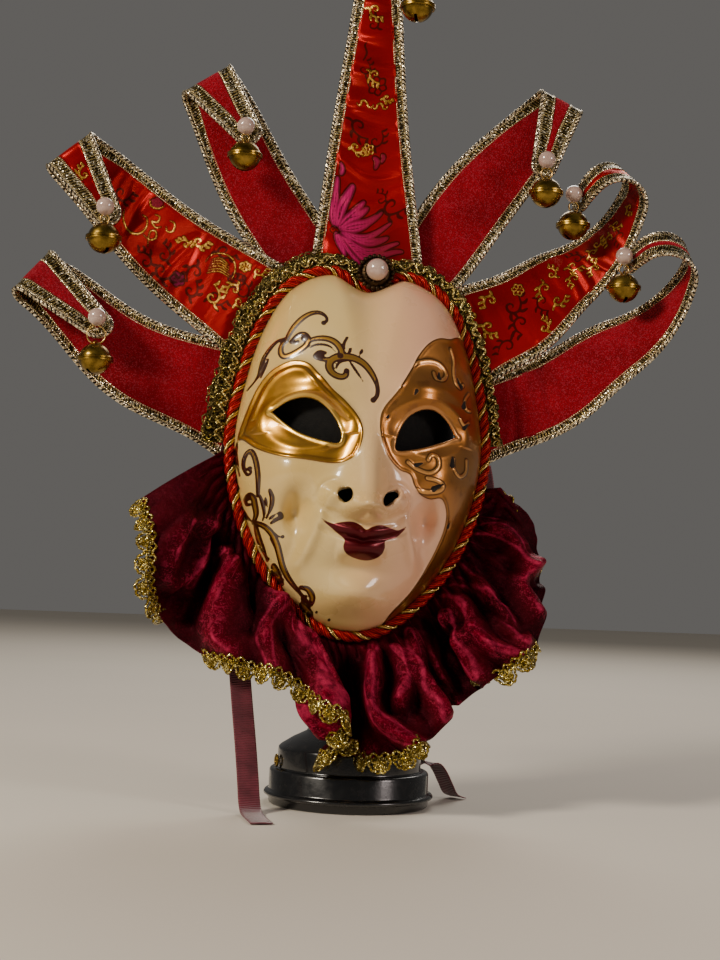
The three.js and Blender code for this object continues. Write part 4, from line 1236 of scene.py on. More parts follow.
# a place on a strip in the mask's frame: s along it, b across it, off above its face
def stripPoint(ray, s, b, off):
    k = math.radians(ray["skew"])
    a = s - ray["straight"]
    along, up, slope = curlAt(a * math.cos(k) - b * math.sin(k), ray)
    side = a * math.sin(k) + b * math.cos(k)
    lifted, height = along - off * np.sin(slope), up + off * np.cos(slope)
    forward = lifted * math.cos(k) + side * math.sin(k) + ray["straight"]
    across = side * math.cos(k) - lifted * math.sin(k)
    twist = math.radians(ray["twist"]) * smoothStep(s / curlStart(ray))
    bow = ray["bow"] * np.sin(math.pi * np.clip(s / ray["straight"], 0, 1)) ** 2
    sideways = across * np.cos(twist) - height * np.sin(twist) + bow
    outOfPlane = across * np.sin(twist) + height * np.cos(twist)
    lean = math.radians(ray["lean"])
    reach = forward * math.cos(lean) - outOfPlane * math.sin(lean)
    lift = ray.get("lift", 0) * np.clip(forward / ray["straight"], 0, 1) ** 2
    towards = forward * math.sin(lean) + outOfPlane * math.cos(lean) + lift
    c, n = math.cos(math.radians(ray["heading"])), math.sin(math.radians(ray["heading"]))
    return np.stack([ray["u"] + c * reach - n * sideways, ray["layer"] - towards,
                     ray["w"] + n * reach + c * sideways], -1)


coverFar = rimDistance(720, stripSet["cover"])


# where each line across a strip comes out from under the rim
def rootOf(ray, b):
    inner, outer = np.full(b.shape, -15.0), np.full(b.shape, 40.0)
    for _ in range(14):
        middle = (inner + outer) / 2
        p = stripPoint(ray, middle, b, 0 * b)
        inside = np.hypot(p[..., 0], p[..., 2]) < coverFar(p[..., 0], p[..., 2])
        inner, outer = np.where(inside, middle, inner), np.where(inside, outer, middle)
    return outer


# the first stations are drawn back to the rim, each line across the strip by its own amount
def pointOnStrip(ray, s, b, off):
    end = ray["straight"] - stripSet["drawnShort"]
    root = rootOf(ray, b)
    return stripPoint(ray, np.where(s < end, root + s / end * (end - root), s), b, off)


def velvetMaterial():
    material, shader = newMaterial("rayVelvet", Roughness=0.8, Sheen_Weight=0.7,
                                   Sheen_Roughness=0.35, Sheen_Tint=(1, 0.12, 0.16, 1),
                                   Specular_IOR_Level=0.1)
    streak, pile = drift(55, -0.3, 0.9, 4), glitter(1700)
    # the brightest specks of the pile are painted glints
    feed(shader, "Base Color", laid(
        "6c0210", (drift(16, 0, 1, 3), "a0071e"), (times(streak, 0.35), "c41a32"),
        (times(pile[0], 0.6), "440004"), (times(isOver(pile[0], 0.78), 0.22), "e44a5c")))
    bumpInto(shader, plus(pile[1], times(streak, 0.8)), 0.0006, 0.8)
    return material


def brocadeMaterial():
    material, shader = newMaterial("rayBrocade", Roughness=0.3, Specular_IOR_Level=0.55,
                                   Specular_Tint=(1, 0.4, 0.26, 1))
    gold, dark, pink = (attribute(n) for n in ("goldThread", "darkThread", "pinkThread"))
    along, across = attribute("along"), attribute("across")
    satinShade = mixColour(drift(22, 0, 1, 2), "740309", "ac0912")
    isPink = ramp(pink, -0.15, 0.25)
    outlined = larger(ramp(pink, -1.15, -0.5), times(ramp(gold, -0.6, -0.3), 0.7))
    stitch = sineOf(across, 2 * math.pi / 0.9)
    core = times(plus(times(ramp(stitch, -1, 1), 0.5), 0.2), ramp(pink, 0.3, 1.5))
    # the petals grow darker towards one side of the ray: painted shade
    pinkShade = laid("4c041e", (drift(160, 0, 1, 4), "820e44"), (core, "f61a86"),
                     (ramp(across, -10, 17, 0.85, 0), "7a0826"))
    isGold = ramp(gold, -0.1, 0.2)
    isDark = ramp(dark, -0.1, 0.25)
    goldShade = mixColour(glitter(900)[0], "8a5a16", "ffc860")
    feed(shader, "Base Color", laid(
        satinShade, (times(outlined, 0.85), "260806"), (isPink, pinkShade),
        (times(isDark, 0.85), "2e0d0c"), (isGold, goldShade)))
    feed(shader, "Metallic", larger(times(isGold, 0.9), ramp(isPink, 0, 1, 0.5, 0.3)))
    feed(shader, "Roughness", mixValue(isPink, 0.3, 0.5))
    twill = sineOf(plus(along, across), 2 * math.pi / 0.7)
    height = plus(times(twill, 0.12), plus(isGold, times(isPink, 0.7)))
    bumpInto(shader, height, 0.0003, 0.8)
    return material


# shapes of the woven motifs, drawn round their own middle
def turnedLine(line, at, turn, size):
    c, n = math.cos(math.radians(turn)), math.sin(math.radians(turn))
    return [(at[0] + size * (x * c - y * n), at[1] + size * (x * n + y * c)) for x, y in line]


hook = [(-6, -2), (-3.6, 1.6), (0.2, 3.6), (3.6, 2.5), (4.7, -0.5), (3, -3), (0.7, -2.5),
        (0.4, -0.7), (1.8, 0.1)]
leaves = [[(-3.4, 1.8), (-5.2, 3.4), (-7.6, 3.2)], [(0.2, 3.6), (-0.8, 5.6), (-3.2, 6.6)],
          [(-6, -2), (-7.4, -0.2), (-9.6, 0.2)], [(4.2, 1.6), (6.2, 2.8), (7.4, 5)]]
petal = [(0.8, 0), (2.6, 1.5), (4.2, 0), (2.6, -1.5), (0.8, 0)]
wave = [(-5.2, 0.4), (-4, 2), (-2, 1.6), (-1, -0.6), (0.4, -2), (2.4, -1.4), (2.8, 0.6), (4, 1.8),
        (5.4, 0.6)]
diamond = [(-1, 0), (0, 1), (1, 0), (0, -1), (-1, 0)]


def curls(kind, at, turn, size, half=0.5):
    return [(kind, turnedLine(hook, at, turn, size * 0.85), half * 1.25)] + [
        (kind, turnedLine(leaf, at, turn, size * 0.85), half * 1.5) for leaf in leaves]


def blossom(kind, at, turn, size, petals=5, half=0.5):
    return [(kind, turnedLine(petal, at, turn + 360 * k / petals, size), half)
            for k in range(petals)]


def petalFan(at, tips, half):
    out = []
    for k, tip in enumerate(tips):
        middle = ((at[0] + tip[0]) / 2 + (1.2 if k % 2 else -1.2), (at[1] + tip[1]) / 2 + 1.0)
        start = (at[0] + 0.14 * (tip[0] - at[0]), at[1] + 0.14 * (tip[1] - at[1]))
        vein = (at[0] + 0.8 * (tip[0] - at[0]), at[1] + 0.8 * (tip[1] - at[1]))
        out.append(("p", [start, middle, tip], half * (1.0 if k % 2 else 0.8)))
        out.append(("d", [start, middle, vein], 0.42))
    return out


def ridgedShell(at, turn, size):
    out = []
    for x in np.linspace(-2.2, 1.8, 6):
        rib = [(x, -3.2 + 0.2 * x), (x + 1.8, -0.4), (x + 1.0, 2.6 - 0.3 * x)]
        out.append(("g", turnedLine(rib, at, turn, size), 0.45))
    border = [(-3, -3.8), (0.2, -4.8), (3.4, -4), (5, -1.4), (4.4, 2), (2, 3.8)]
    return out + [("g", turnedLine(border, at, turn, size), 0.5)]


# the motifs of each brocade ray. A curl: kind of thread, place along and across the ray, turn, size
# and half width. A blossom: the same, with its number of petals before the half width. The rest:
# kind of thread, line and half width
motifs = {
    "centre": {
        "curls": [
            ("d", 51, -16, 60, 1.5, 0.8), ("d", 60, -8, 200, 0.9), ("g", 91, 8, 80, 0.8, 0.6),
            ("d", 104, 7, 30, 1.4, 0.75), ("d", 98, -5, 140, 1.1, 0.6), ("g", 124, -10, 60, 0.6),
            ("g", 139, -1, 20, 0.9, 0.55), ("d", 144, 5, 160, 1.0), ("g", 181, 1, 40, 1.0, 0.55),
            ("d", 174, 2, 200, 1.0, 0.6), ("g", 196, 0, 90, 0.8), ("d", 207, 2, 10, 0.8),
            ("g", 250, 1, 20, 0.7)],
        "blossoms": [("g", 92, 1, 20, 0.9), ("d", 133, -3, 10, 1.5, 6, 0.7),
                     ("g", 226, 0, 10, 0.8)],
        "more": petalFan((31, 21), [(67, 20), (60, 13), (58, 3), (50, -8), (41, -14), (32, -12),
                                    (20, -22), (15, -12), (17, 3), (18, 15), (52, 23), (66, 10),
                                    (46, -2), (54, 1), (26, -19)], 2.7)
        + [("p", [(70, 18), (74, 17), (77, 18)], 1.6), ("p", [(80, -4), (84, -5), (87, -3)], 1.7),
           ("p", [(83, -8), (86, -9), (88, -8)], 1.3),
           ("d", turnedLine(diamond, (31, 21.5), 0, 3), 0.7),
           ("d", turnedLine(diamond, (31, 21.5), 0, 1.2), 0.5),
           ("g", turnedLine(wave, (121, 4), 92, 1.0), 0.6),
           ("g", turnedLine(wave, (119.5, -6), 88, 0.9), 0.6),
           ("d", [(149, 7), (154, 5), (159, 6.5), (162, 5)], 0.8)],
    },
    "left_mid": {
        "curls": [
            ("g", 62, -15, 30, 0.9, 0.7), ("g", 70, -8, 200, 0.7, 0.6), ("d", 70, 15, 20, 1.3, 0.8),
            ("d", 76, 5, 120, 1.1, 0.7), ("d", 55, 4, 250, 1.2, 0.8), ("d", 50, 13, 80, 1.1, 0.8),
            ("d", 118, -4, 40, 1.2, 0.7), ("d", 24, -6, 140, 1.3, 0.6), ("g", 20, 2, 30, 0.9),
            ("d", 34, 9, 10, 1.2, 0.7), ("g", 37, 8, 100, 1.2, 0.6), ("g", 29, -2, 230, 0.9, 0.55),
            ("d", 46, -19, 10, 1.2, 0.7), ("g", 22, -22, 60, 0.8), ("d", 84, 16, 160, 1.1, 0.7),
            ("g", 132, 3, 60, 0.8), ("d", 146, -2, 0, 0.9), ("g", 185, 0, 20, 0.8),
            ("d", 12, 12, 70, 1.0)],
        "blossoms": [
            ("p", 98.8, -15.5, 10, 0.75, 5, 0.8), ("g", 31, -19, 0, 0.8, 6, 0.7),
            ("p", 61, 13, 30, 0.9, 5, 0.9), ("d", 30, -8, 20, 1.3, 6, 0.7)],
        "more": ridgedShell((43, -7), -60, 2.2) + [
            ("g", [(112, 2.5), (109.5, 6.5), (105, 9.4), (99.5, 10), (95.5, 6.5), (94.5, 1),
                   (97.5, -3.5), (101, -3.2)], 0.6),
            ("g", [(95, -9), (92, -10.2), (91, -6.5), (94, -4.4), (90, -3.4), (87.5, -6)], 0.6),
            ("g", [(85.5, -13), (82, -13.5), (80, -9.5), (82.5, -6.6), (85, -8.4)], 0.6),
            ("g", [(93, 5.5), (88.5, 5), (86, 1.6), (88.5, -1.6), (91, 1.4), (87, 9)], 0.5),
            ("g", [(104, -14), (100.5, -11.5), (96, -13.4), (94, -17.5)], 0.6)],
    },
    "right_mid": {
        "curls": [
            ("g", 27, 16, 20, 1.0, 0.6), ("g", 19, -1, 110, 1.0, 0.6), ("g", 12, 10, 50, 0.8),
            ("d", 40, 6, 200, 1.4, 0.8), ("d", 37, -7, 60, 1.2, 0.7), ("g", 62, 3, 30, 1.0),
            ("g", 66, -10, 160, 0.9), ("d", 56, -4, 80, 1.1, 0.6), ("g", 74, 9, 250, 0.9),
            ("g", 82, -5, 40, 0.9), ("g", 89, 3, 130, 1.0), ("g", 97, -8, 20, 0.8),
            ("g", 104, 2, 70, 0.9), ("d", 94, 9, 300, 1.0, 0.6), ("g", 112, 6, 190, 0.8),
            ("g", 118, 0, 20, 0.8), ("g", 129, 3, 100, 0.8), ("d", 123, -7, 30, 0.9),
            ("g", 142, -1, 60, 0.7), ("g", 165, 2, 0, 0.7), ("d", 24, -16, 10, 1.1, 0.6),
            ("g", 50, -16, 250, 0.8)],
        "blossoms": [("g", 48, 14, 20, 1.0, 6)],
    },
}


def motifLines(name):
    rows = motifs[name]
    out = list(rows.get("more", []))
    for make, key in ((curls, "curls"), (blossom, "blossoms")):
        for kind, along, across, *shape in rows[key]:
            out += make(kind, (along, across), *shape)
    return out


def motifField(points, lines):
    best = np.full(len(points), unmarked)
    for line, half in lines:
        path = evenly(curveThrough(line, 8), 0.6)
        low, high = path.min(0) - 5, path.max(0) + 5
        near = np.flatnonzero(((points > low) & (points < high)).all(1))
        for p, r in zip(path, np.linspace(0, 1, len(path))):
            wide = half * (0.45 + 0.55 * math.sin(math.pi * r) ** 0.6)
            best[near] = np.maximum(best[near], wide - np.hypot(*(points[near] - p).T))
    return best


def crossFolds(s, b, seed, height, spacing):
    local = np.random.default_rng(seed)
    out = np.zeros_like(s)
    at = 6.0
    while at < 330:
        slant, bent = local.uniform(-0.35, 0.35), local.uniform(-0.004, 0.004)
        wide, high = local.uniform(1.8, 4.5), local.uniform(-1.0, 1.0) * height
        middle, reach = local.uniform(-22, 22), local.uniform(14, 34)
        d = s - at - slant * b - bent * b**2
        out += high * hill(d, wide) * hill(b - middle, reach)
        at += local.uniform(0.4, 1.3) * spacing
    return out


# the braid grows wider over the curl, where little of the cloth shows between its two runs
def braidSpread(ray, s):
    wanted = 1 + 0.6 * smoothStep((s / curlStart(ray) - 0.78) / 0.3)
    return np.clip((stripWidth(ray, s) / 2 - 0.3) / (stripSet["braid"] + 0.1), 1, wanted)


def makePanel(name, ray, index):
    brocade = ray["cloth"] == "brocade"
    step = stripSet["brocadeStep"] if brocade else stripSet["velvetStep"]
    end = stripLength(ray) - ray["tip"] / 2 - 1
    s = np.linspace(0, end, int(end / step) + 1)
    cols = int(60 / step)
    c = np.linspace(-1, 1, cols)
    half = np.maximum(stripWidth(ray, s) / 2 - stripSet["braid"] * braidSpread(ray, s) + 1.2, 0.6)
    ss, bb = np.repeat(s, cols), (half[:, None] * c[None]).ravel()
    calm = np.clip((1 - np.abs(np.tile(c, len(s)))) / 0.12, 0, 1)
    soft = sum(crossFolds(ss, bb, seed + index, high, spacing)
               for seed, high, spacing in stripSet["folds"][ray["cloth"]])
    for at, deep in ray.get("creases", []):
        soft = soft - deep * hill(ss - at - 0.12 * bb, 2.6)
    # the stuffed strip swells a little between its edges on the side that is seen
    swell = 1.1 * (1 - np.tile(c, len(s)) ** 2) * np.clip(half.repeat(cols) / 14, 0, 1)
    halfWay = curlStart(ray) + 0.5 * ray["radius"] * math.radians(ray["turn"])
    seen = np.clip((halfWay - ss) / 12, -1, 1)
    puff = (swell + soft) * calm
    face = pointOnStrip(ray, ss, bb, stripSet["thick"] / 2 + puff * np.where(seen > 0, seen, 0))
    back = pointOnStrip(ray, ss, bb, -stripSet["thick"] / 2 - puff * np.where(seen < 0, -seen, 0))
    obj = meshFrom("panel_" + name, fromMask(np.vstack([face, back])), slabFaces(len(s), cols))
    faceOut(obj)
    mark(obj, along=np.tile(ss, 2), across=np.tile(bb, 2))
    if brocade:
        # the side turned away is plain satin, with fewer faces
        flat = np.stack([ss, bb], 1)
        within = np.abs(np.tile(c, len(s))) < 0.98
        hidden = np.r_[within & (seen < -0.9), within & (seen > 0.9)]
        for key, field in (("g", "goldThread"), ("d", "darkThread"), ("p", "pinkThread")):
            lines = [(line, half) for kind, line, half in motifLines(name) if kind == key]
            mark(obj, **{field: np.where(hidden, unmarked, np.tile(motifField(flat, lines), 2))})
        coarsen(obj, np.flatnonzero(hidden), stripSet["backKept"])
    return obj


def braidMaterial():
    material, shader = newMaterial("silverBraid", Roughness=0.32, Metallic=0.9)
    along, across = attribute("along"), attribute("across")
    speck = glitter(1050)
    slanted = plus(times(along, 2 * math.pi / 1.8), times(across, 0.8))
    frayed = drift(330, -0.2, 1.5, 3)
    wireUp = times(ramp(maths("SINE", slanted), -0.5, 0.7), frayed)
    chain = ramp(sineOf(along, 2 * math.pi / 1.3), -1, 1)
    edgeOne = ramp(farFrom(across, 0.95), 0.25, 0.6, 1, 0)
    edgeTwo = ramp(farFrom(across, -3.05), 0.25, 0.6, 1, 0)
    isChain = larger(edgeOne, edgeTwo)
    isCord = ramp(across, 1.25, 1.5)
    # the ladder is painted dark where its wires dip: painted shade between the wires
    ladder = mixColour(wireUp, "2c210e", mixColour(speck[0], "4a3a18", "e6cc80"))
    cord = mixColour(ramp(attribute("twine"), 0.3, 0.6), "1c140c",
                     mixColour(speck[0], "7c684a", "fcecc8"))
    # the chains are painted darker between their links, as painted shade, and the brightest specks
    # are painted glints
    feed(shader, "Base Color", laid(
        ladder, (isChain, mixColour(chain, "655029", "e8d6a4")), (isCord, cord),
        (times(isOver(speck[0], 0.82), 0.9), "fff2d0")))
    feed(shader, "Roughness", mixValue(speck[0], 0.46, 0.2))
    height = mixValue(isChain, wireUp, chain)
    height = mixValue(isCord, height, times(speck[1], 0.5))
    bumpInto(shader, plus(height, times(speck[1], 0.4)), 0.0004, 0.8)
    return material


# the braid's section: a twisted cord on its outer edge, then a flat ladder between two fine chains
def braidProfile(across, run):
    cordAt = (across - 2.5) / 1.15
    twine = np.clip(0.5 + 0.5 * np.sin(2 * math.pi * (run / 2.85 - 0.32 * across)), 0, 1)
    cord = np.sqrt(np.clip(1 - cordAt**2, 0, 1)) * (1.15 + 0.35 * twine)
    flat = 0.62 + 0.35 * hill(across - 0.95, 0.35) + 0.4 * hill(across + 3.05, 0.38)
    flat = flat * np.clip((3.62 + across) / 0.2, 0, 1) ** 0.5
    return np.maximum(cord, np.where(across < 2.2, flat, 0)), twine


def makeBraid(name, ray):
    wide = stripSet["braid"] / 2
    turnAt = stripLength(ray) - stripSet["tipRound"] - wide
    middle = stripWidth(ray, np.array(turnAt)) / 2 - wide
    step = stripSet["braidStep"]
    up = np.linspace(0, turnAt, int(turnAt / step) + 1)
    bend = np.linspace(0, math.pi, int(math.pi * middle / step) + 2)[1:-1]
    front, behind = stripSet["front"], stripSet["behind"]
    full = np.array(front + behind)
    sign = np.r_[np.ones(len(front)), -np.ones(len(behind))]
    sRun = np.r_[up, np.full(len(bend), turnAt), up[::-1]]
    angle = np.r_[np.zeros(len(up)), bend, np.full(len(up), math.pi)]
    around = len(full)
    course = np.stack([sRun + (middle + wide) * np.sin(angle), (middle + 2) * np.cos(angle)], 1)
    gap = np.linalg.norm(np.diff(course, axis=0), axis=1)
    run = np.r_[0, np.cumsum(np.where(gap > 0.01, gap, step))]
    radius = middle + full[None]
    # the ladder spreads, the cord on the outer edge keeps its width
    spread, edge, cordFrom = braidSpread(ray, sRun)[:, None], full.max(), stripSet["cordFrom"]
    isCord = full[None] > cordFrom
    outer = (stripWidth(ray, sRun)[:, None] / 2 - wide + edge
             + (full[None] - edge) * np.where(isCord, 1, spread)
             - np.where(isCord, 0, (edge - cordFrom) * (1 - spread)))
    onBend = ((angle > 0) & (angle < math.pi))[:, None]
    b = np.where(onBend, radius * np.cos(angle)[:, None],
                 np.where(angle[:, None] > 1, -1, 1) * outer)
    s = np.where(onBend, turnAt + radius * np.sin(angle)[:, None], sRun[:, None])
    height, twine = braidProfile(np.broadcast_to(full, b.shape),
                                 np.broadcast_to(run[:, None], b.shape))
    points = pointOnStrip(ray, s.ravel(), b.ravel(), (sign * height).ravel())
    obj = meshFrom("braid_" + name, fromMask(points), tubeFaces(len(run), around, False))
    mark(obj, along=np.repeat(run, around), across=np.tile(full, len(run)), twine=twine)
    faceOut(obj)
    return obj


rayVelvet, rayBrocade, silverBraid = velvetMaterial(), brocadeMaterial(), braidMaterial()
for index, (name, ray) in enumerate(rays.items()):
    panel = dress(makePanel(name, ray, index),
                  rayBrocade if ray["cloth"] == "brocade" else rayVelvet)
    trim = dress(makeBraid(name, ray), silverBraid)
    for obj, node, slot in ((panel, "ray_", ray["cloth"]), (trim, "braid_", "silver_braid")):
        standFor(obj, node + name, slot)
print("rays")


# pearls, wire links and bells at the ends of the rays

bellSet = {
    "radius": 9.9, "belt": 11, "beltHeight": 3.0, "wall": 0.6, "top": 9.5, "slot": 1.9,
    "slotDepth": 5.2, "eye": (1.5, 0.42), "eyeUp": 9.4, "spin": 67,
}


def brassMaterial():
    material, shader = newMaterial("bellBrass", Metallic=1.0, Roughness=0.24)
    worn = drift(170, -0.1, 1, 5)
    feed(shader, "Base Color", mixColour(worn, "5e4a18", "a8883c"))
    feed(shader, "Roughness", uneven(260, 0.2, 0.36))
    bumpInto(shader, uneven(700), 0.00006, 0.5)
    return material


def wireMaterial():
    material, shader = newMaterial("giltWire", Metallic=1.0, Roughness=0.25)
    feed(shader, "Base Color", mixColour(uneven(600), "b98d45", "ecca80"))
    return material


def wireRing(radius, thick, at, turn, segments=28, sides=8):
    bpy.ops.object.select_all(action="DESELECT")
    bpy.ops.mesh.primitive_torus_add(
        major_radius=radius * mm, minor_radius=thick * mm,
        major_segments=segments, minor_segments=sides,
        rotation=[math.radians(a) for a in turn], location=[x * mm for x in at])
    obj = bpy.context.object
    applyPlace(obj)
    obj.data.shade_smooth()
    return obj


def makeBell():
    b = bellSet
    half = b["beltHeight"] / 2

    def cup(radius, steps):
        turns = np.linspace(-math.pi / 2, -0.16, steps)
        low = [(radius * math.cos(a), radius * math.sin(a) - half + 2) for a in turns]
        return [(0, low[0][1])] + low[1:]

    outside = cup(b["radius"], 14)
    inside = cup(b["radius"] - b["wall"], 10)
    belt = [(b["belt"] - 0.3, -half), (b["belt"], -half + 0.35), (b["belt"], -0.25),
            (b["belt"] - 0.25, 0), (b["belt"], 0.25), (b["belt"], half - 0.35),
            (b["belt"] - 0.3, half)]
    bell = turned("bell", outside + belt + [(r, -h) for r, h in outside[::-1]], 48)
    hollow = turned("bellHollow", inside + [(r, -h) for r, h in inside[::-1]], 32)
    slotAt = -b["top"] + b["slotDepth"] / 2 - 2.2
    bpy.ops.mesh.primitive_cube_add(size=1, location=(0, 0, slotAt * mm))
    slot = bpy.context.object
    slot.scale = (b["slot"] * mm, 13.5 * mm, (b["slotDepth"] + 2) * mm)
    applyPlace(slot)
    for tool in (hollow, slot):
        applyModifier(bell, "BOOLEAN", object=tool, operation="DIFFERENCE", solver="EXACT")
        bpy.data.objects.remove(tool)
    eye = wireRing(*b["eye"], (0, 0, b["eyeUp"]), (90, 0, 90), 20)
    for obj in (bell, eye):
        dress(obj, bellBrass)
    bell = joined("bell", [bell, eye])
    only(bell)
    bpy.ops.object.shade_smooth_by_angle(angle=math.radians(35))
    return bell


# a bent pin: a loop through the bell's eye, its stem wound up to the pearl
def makeWire(centre, length):
    outer = length / 2
    loop = wireRing(outer - 0.5, 0.45, centre, (90, 0, 0))
    twist = [(centre[0] + 0.75 * math.cos(6 * t), centre[1] + 0.75 * math.sin(6 * t),
              centre[2] + outer - 0.4 + 1.5 * t / 6.3)
             for t in np.linspace(0, 2 * math.pi, 33)[:-1]]
    return joined("wire", [loop, tube("coil", twist, 0.28, 6)])


bellBrass, giltWire = brassMaterial(), wireMaterial()
bellPattern = makeBell()
for index, (name, ray) in enumerate(rays.items()):
    off = -(1.5 + stripSet["pearl"])
    end = stripLength(ray) - stripSet["inset"]
    at = fromMask(stripPoint(ray, np.array(end), np.array(0.0), np.array(off)))
    pearl = dress(ball("pearl_" + name, stripSet["pearl"], at, 40, 24), pearlCoat)
    room = ray["drop"] - stripSet["pearl"] - bellSet["top"] - 0.7
    wire = dress(makeWire(at - [0, 0, stripSet["pearl"] + 0.35 + room / 2], room + 2.4), giltWire)
    bell = copyOf(bellPattern, "bell_" + name)
    spin = Matrix.Rotation(math.radians((index * bellSet["spin"]) % 180 - 40), 4, "Z")
    bell.data.transform(Matrix.Translation(Vector((at - [0, 0, ray["drop"]]) * mm)) @ spin)
    ends = ((pearl, "pearl_", "pearl"), (wire, "link_", "gold_wire"), (bell, "bell_", "brass"))
    for obj, node, slot in ends:
        obj.name = node + "at_" + name
        standFor(obj, node + name, slot)
bpy.data.objects.remove(bellPattern)
print("pearls and bells")


# the gathered velvet ruff and its lace

ruffSet = {
    "from": 0.733, "to": 0.287, "thick": 1.4, "bulge": 9, "columns": 380, "rows": 60,
    "cut": 0.9, "hemRound": 0.95, "tuck": 0.06, "gathers": 40,
    "hem": [
        (-131, -37, 5), (-123, -64, 25), (-121, -91, 20), (-112, -111, -3), (-92, -127, 5),
        (-63, -134, 25), (-30, -144, 30), (-8, -172, 36), (-5, -182, 26), (8, -184, 21),
        (20, -185, 26), (38, -179, 36), (57, -164, 30), (64, -152, 4), (75, -147, 4),
        (90, -131, 28), (113, -113, 25), (121, -84, 5), (122, -61, -4), (111, -31, -4),
        (91, -15, 1)],
}
laceSet = {
    "pitch": 14.2, "drawn": 16.6, "thread": 0.68,
    "shown": [(-1.0, 3.0), (3.9, 8.5), (8.7, 11.5), (14.6, 16.4)],
}


# a smooth line through unevenly spaced points, at places counted in spans
def throughKnots(points, at):
    p = np.asarray(points, float)
    p = np.vstack([2 * p[0] - p[1], p, 2 * p[-1] - p[-2]])
    i = np.clip(np.floor(at).astype(int), 0, len(p) - 4)
    f = (at - i)[..., None]
    a, b, c, d = p[i], p[i + 1], p[i + 2], p[i + 3]
    ab, bc, cd = (np.maximum(np.linalg.norm(y - x, axis=-1, keepdims=True), 1e-6) ** 0.5
                  for x, y in ((a, b), (b, c), (c, d)))
    m1 = ((b - a) / ab - (c - a) / (ab + bc) + (c - b) / bc) * bc
    m2 = ((c - b) / bc - (d - b) / (bc + cd) + (d - c) / cd) * bc
    return b + m1 * f + (3 * (c - b) - 2 * m1 - m2) * f**2 + (2 * (b - c) + m1 + m2) * f**3


def ruffPlace(along, down):
    r = ruffSet
    rim = r["from"] + (r["to"] - r["from"]) * along
    tuck = np.clip(-down / r["tuck"], 0, 1)
    seam = besideRim(rim, ropeSet["radius"] - 0.4 - 4.2 * tuck, -0.3 + 1.7 * tuck)
    knots = [(u, -forward, w) for u, w, forward in r["hem"]]
    hem = throughKnots(knots, along * (len(knots) - 1))
    down = np.maximum(down, 0)
    point = seam + (hem - seam) * down[..., None]
    away = unit((hem - seam) * [1, 0, 1])
    bulge = (r["bulge"] * np.sin(math.pi * down))[..., None]
    return point + away * bulge * 0.3 + np.array([0, -0.6, 0]) * bulge


def ruffNormal(along, down):
    e = 0.004
    a = ruffPlace(np.clip(along + e, 0, 1), down) - ruffPlace(np.clip(along - e, 0, 1), down)
    d = ruffPlace(along, down + e * 3) - ruffPlace(along, down - e * 3)
    n = unit(np.cross(a, d))
    return np.where(n[..., 1:2] > 0, -n, n)


# pleats: fine gathers at the seam, which run together into the broad folds given one by one
pleatWaves = [[rng.uniform(*span) for span in ((9, 30), (0, 6.28), (0.5, 1.0), (-1.6, 1.6))]
              for _ in range(7)]
crushWaves = [[rng.uniform(*span) for span in ((20, 75), (-9, 9), (0, 6.28), (0.5, 1))]
              for _ in range(18)]
ruffRidges = [
    ([(-81, -66), (-92, -73), (-99, -86)], 4.5, 4.5),
    ([(-72, -71), (-79, -95), (-80, -118), (-70, -128)], 7.5, 7.5),
    ([(-50, -90), (-36, -106), (-27, -123), (-18, -147), (-8, -172)], 11.0, 4.5),
    ([(-88, -49), (-93, -72), (-108, -88)], 5, 5),
    ([(-47, -101), (-53, -115), (-48, -134)], 5.5, 6.5),
    ([(-100, -50), (-108, -66), (-113, -84)], 4.5, 6),
    ([(16, -118), (14, -144), (19, -161), (35, -174), (44, -178)], 9.0, 4.5),
    ([(29, -119), (36, -138), (30, -152)], 8.0, 4.5),
    ([(38, -109), (43, -133), (56, -160)], 9.0, 4.5),
    ([(51, -84), (69, -90), (73, -104), (87, -117), (103, -121)], 10.0, 5.0),
    ([(56, -75), (74, -79), (92, -96), (106, -112)], 9.0, 4.5),
    ([(65, -60), (77, -74), (84, -84)], 6.5, 4.0), ([(75, -42), (95, -43), (112, -62)], 7.5, 5.5),
    ([(116, -62), (105, -76), (114, -94)], 7, 5.0), ([(60, -98), (66, -112), (80, -132)], 6.0, 4.5),
    ([(67, -65), (83, -90), (103, -106)], -6.5, 3.5),
    ([(46, -91), (60, -118), (77, -144)], -9.0, 4.5),
    ([(1, -112), (1, -151), (-1, -182)], -13.0, 8.0),
    ([(-40, -92), (-27, -109), (-16, -126), (-6, -150)], -7.0, 4.0),
    ([(71, -100), (57, -115), (68, -142)], -5.5, 4.0),
    ([(-74, -59), (-59, -84), (-58, -112)], -6, 4.0),
    ([(-85, -58), (-88, -84), (-97, -108)], -6, 4.0),
    ([(22, -116), (24, -138), (24, -158)], -6.5, 3.5),
]


def ruffFolds(along, down, spot):
    wander = along + 0.012 * np.sin(9 * down + 14 * along) + 0.006 * np.sin(23 * along + 5 * down)
    gathers = np.sin(2 * math.pi * (ruffSet["gathers"] * wander + 0.6 * np.sin(11 * along)))
    gathers = np.sign(gathers) * np.abs(gathers) ** 0.8
    broad = sum(h * np.sin(2 * math.pi * k * (wander + lean * 0.01 * down) + p)
                for k, p, h, lean in pleatWaves) / 3
    crush = sum(h * np.sin(k * along * 6.28 + m * down + p + 1.5 * np.sin(5 * down + k))
                for k, m, p, h in crushWaves) / 5
    out = 1.4 * gathers * hill(down, 0.22) * smoothStep(down / ruffSet["tuck"] + 0.1)
    out = out + 1.5 * broad * smoothStep(down / 0.4) + 0.5 * crush * smoothStep(down / 0.2)
    flat = spot.reshape(-1, 2)
    for line, high, wide in ruffRidges:
        far = distanceTo(flat, evenly(curveThrough(line, 8), 3)).reshape(along.shape)
        shape = np.exp(-np.abs(far / wide) ** 1.6) - 0.35 * hill(far - 1.9 * wide, wide)
        out = out + high * shape * smoothStep(down / 0.25)
    return out


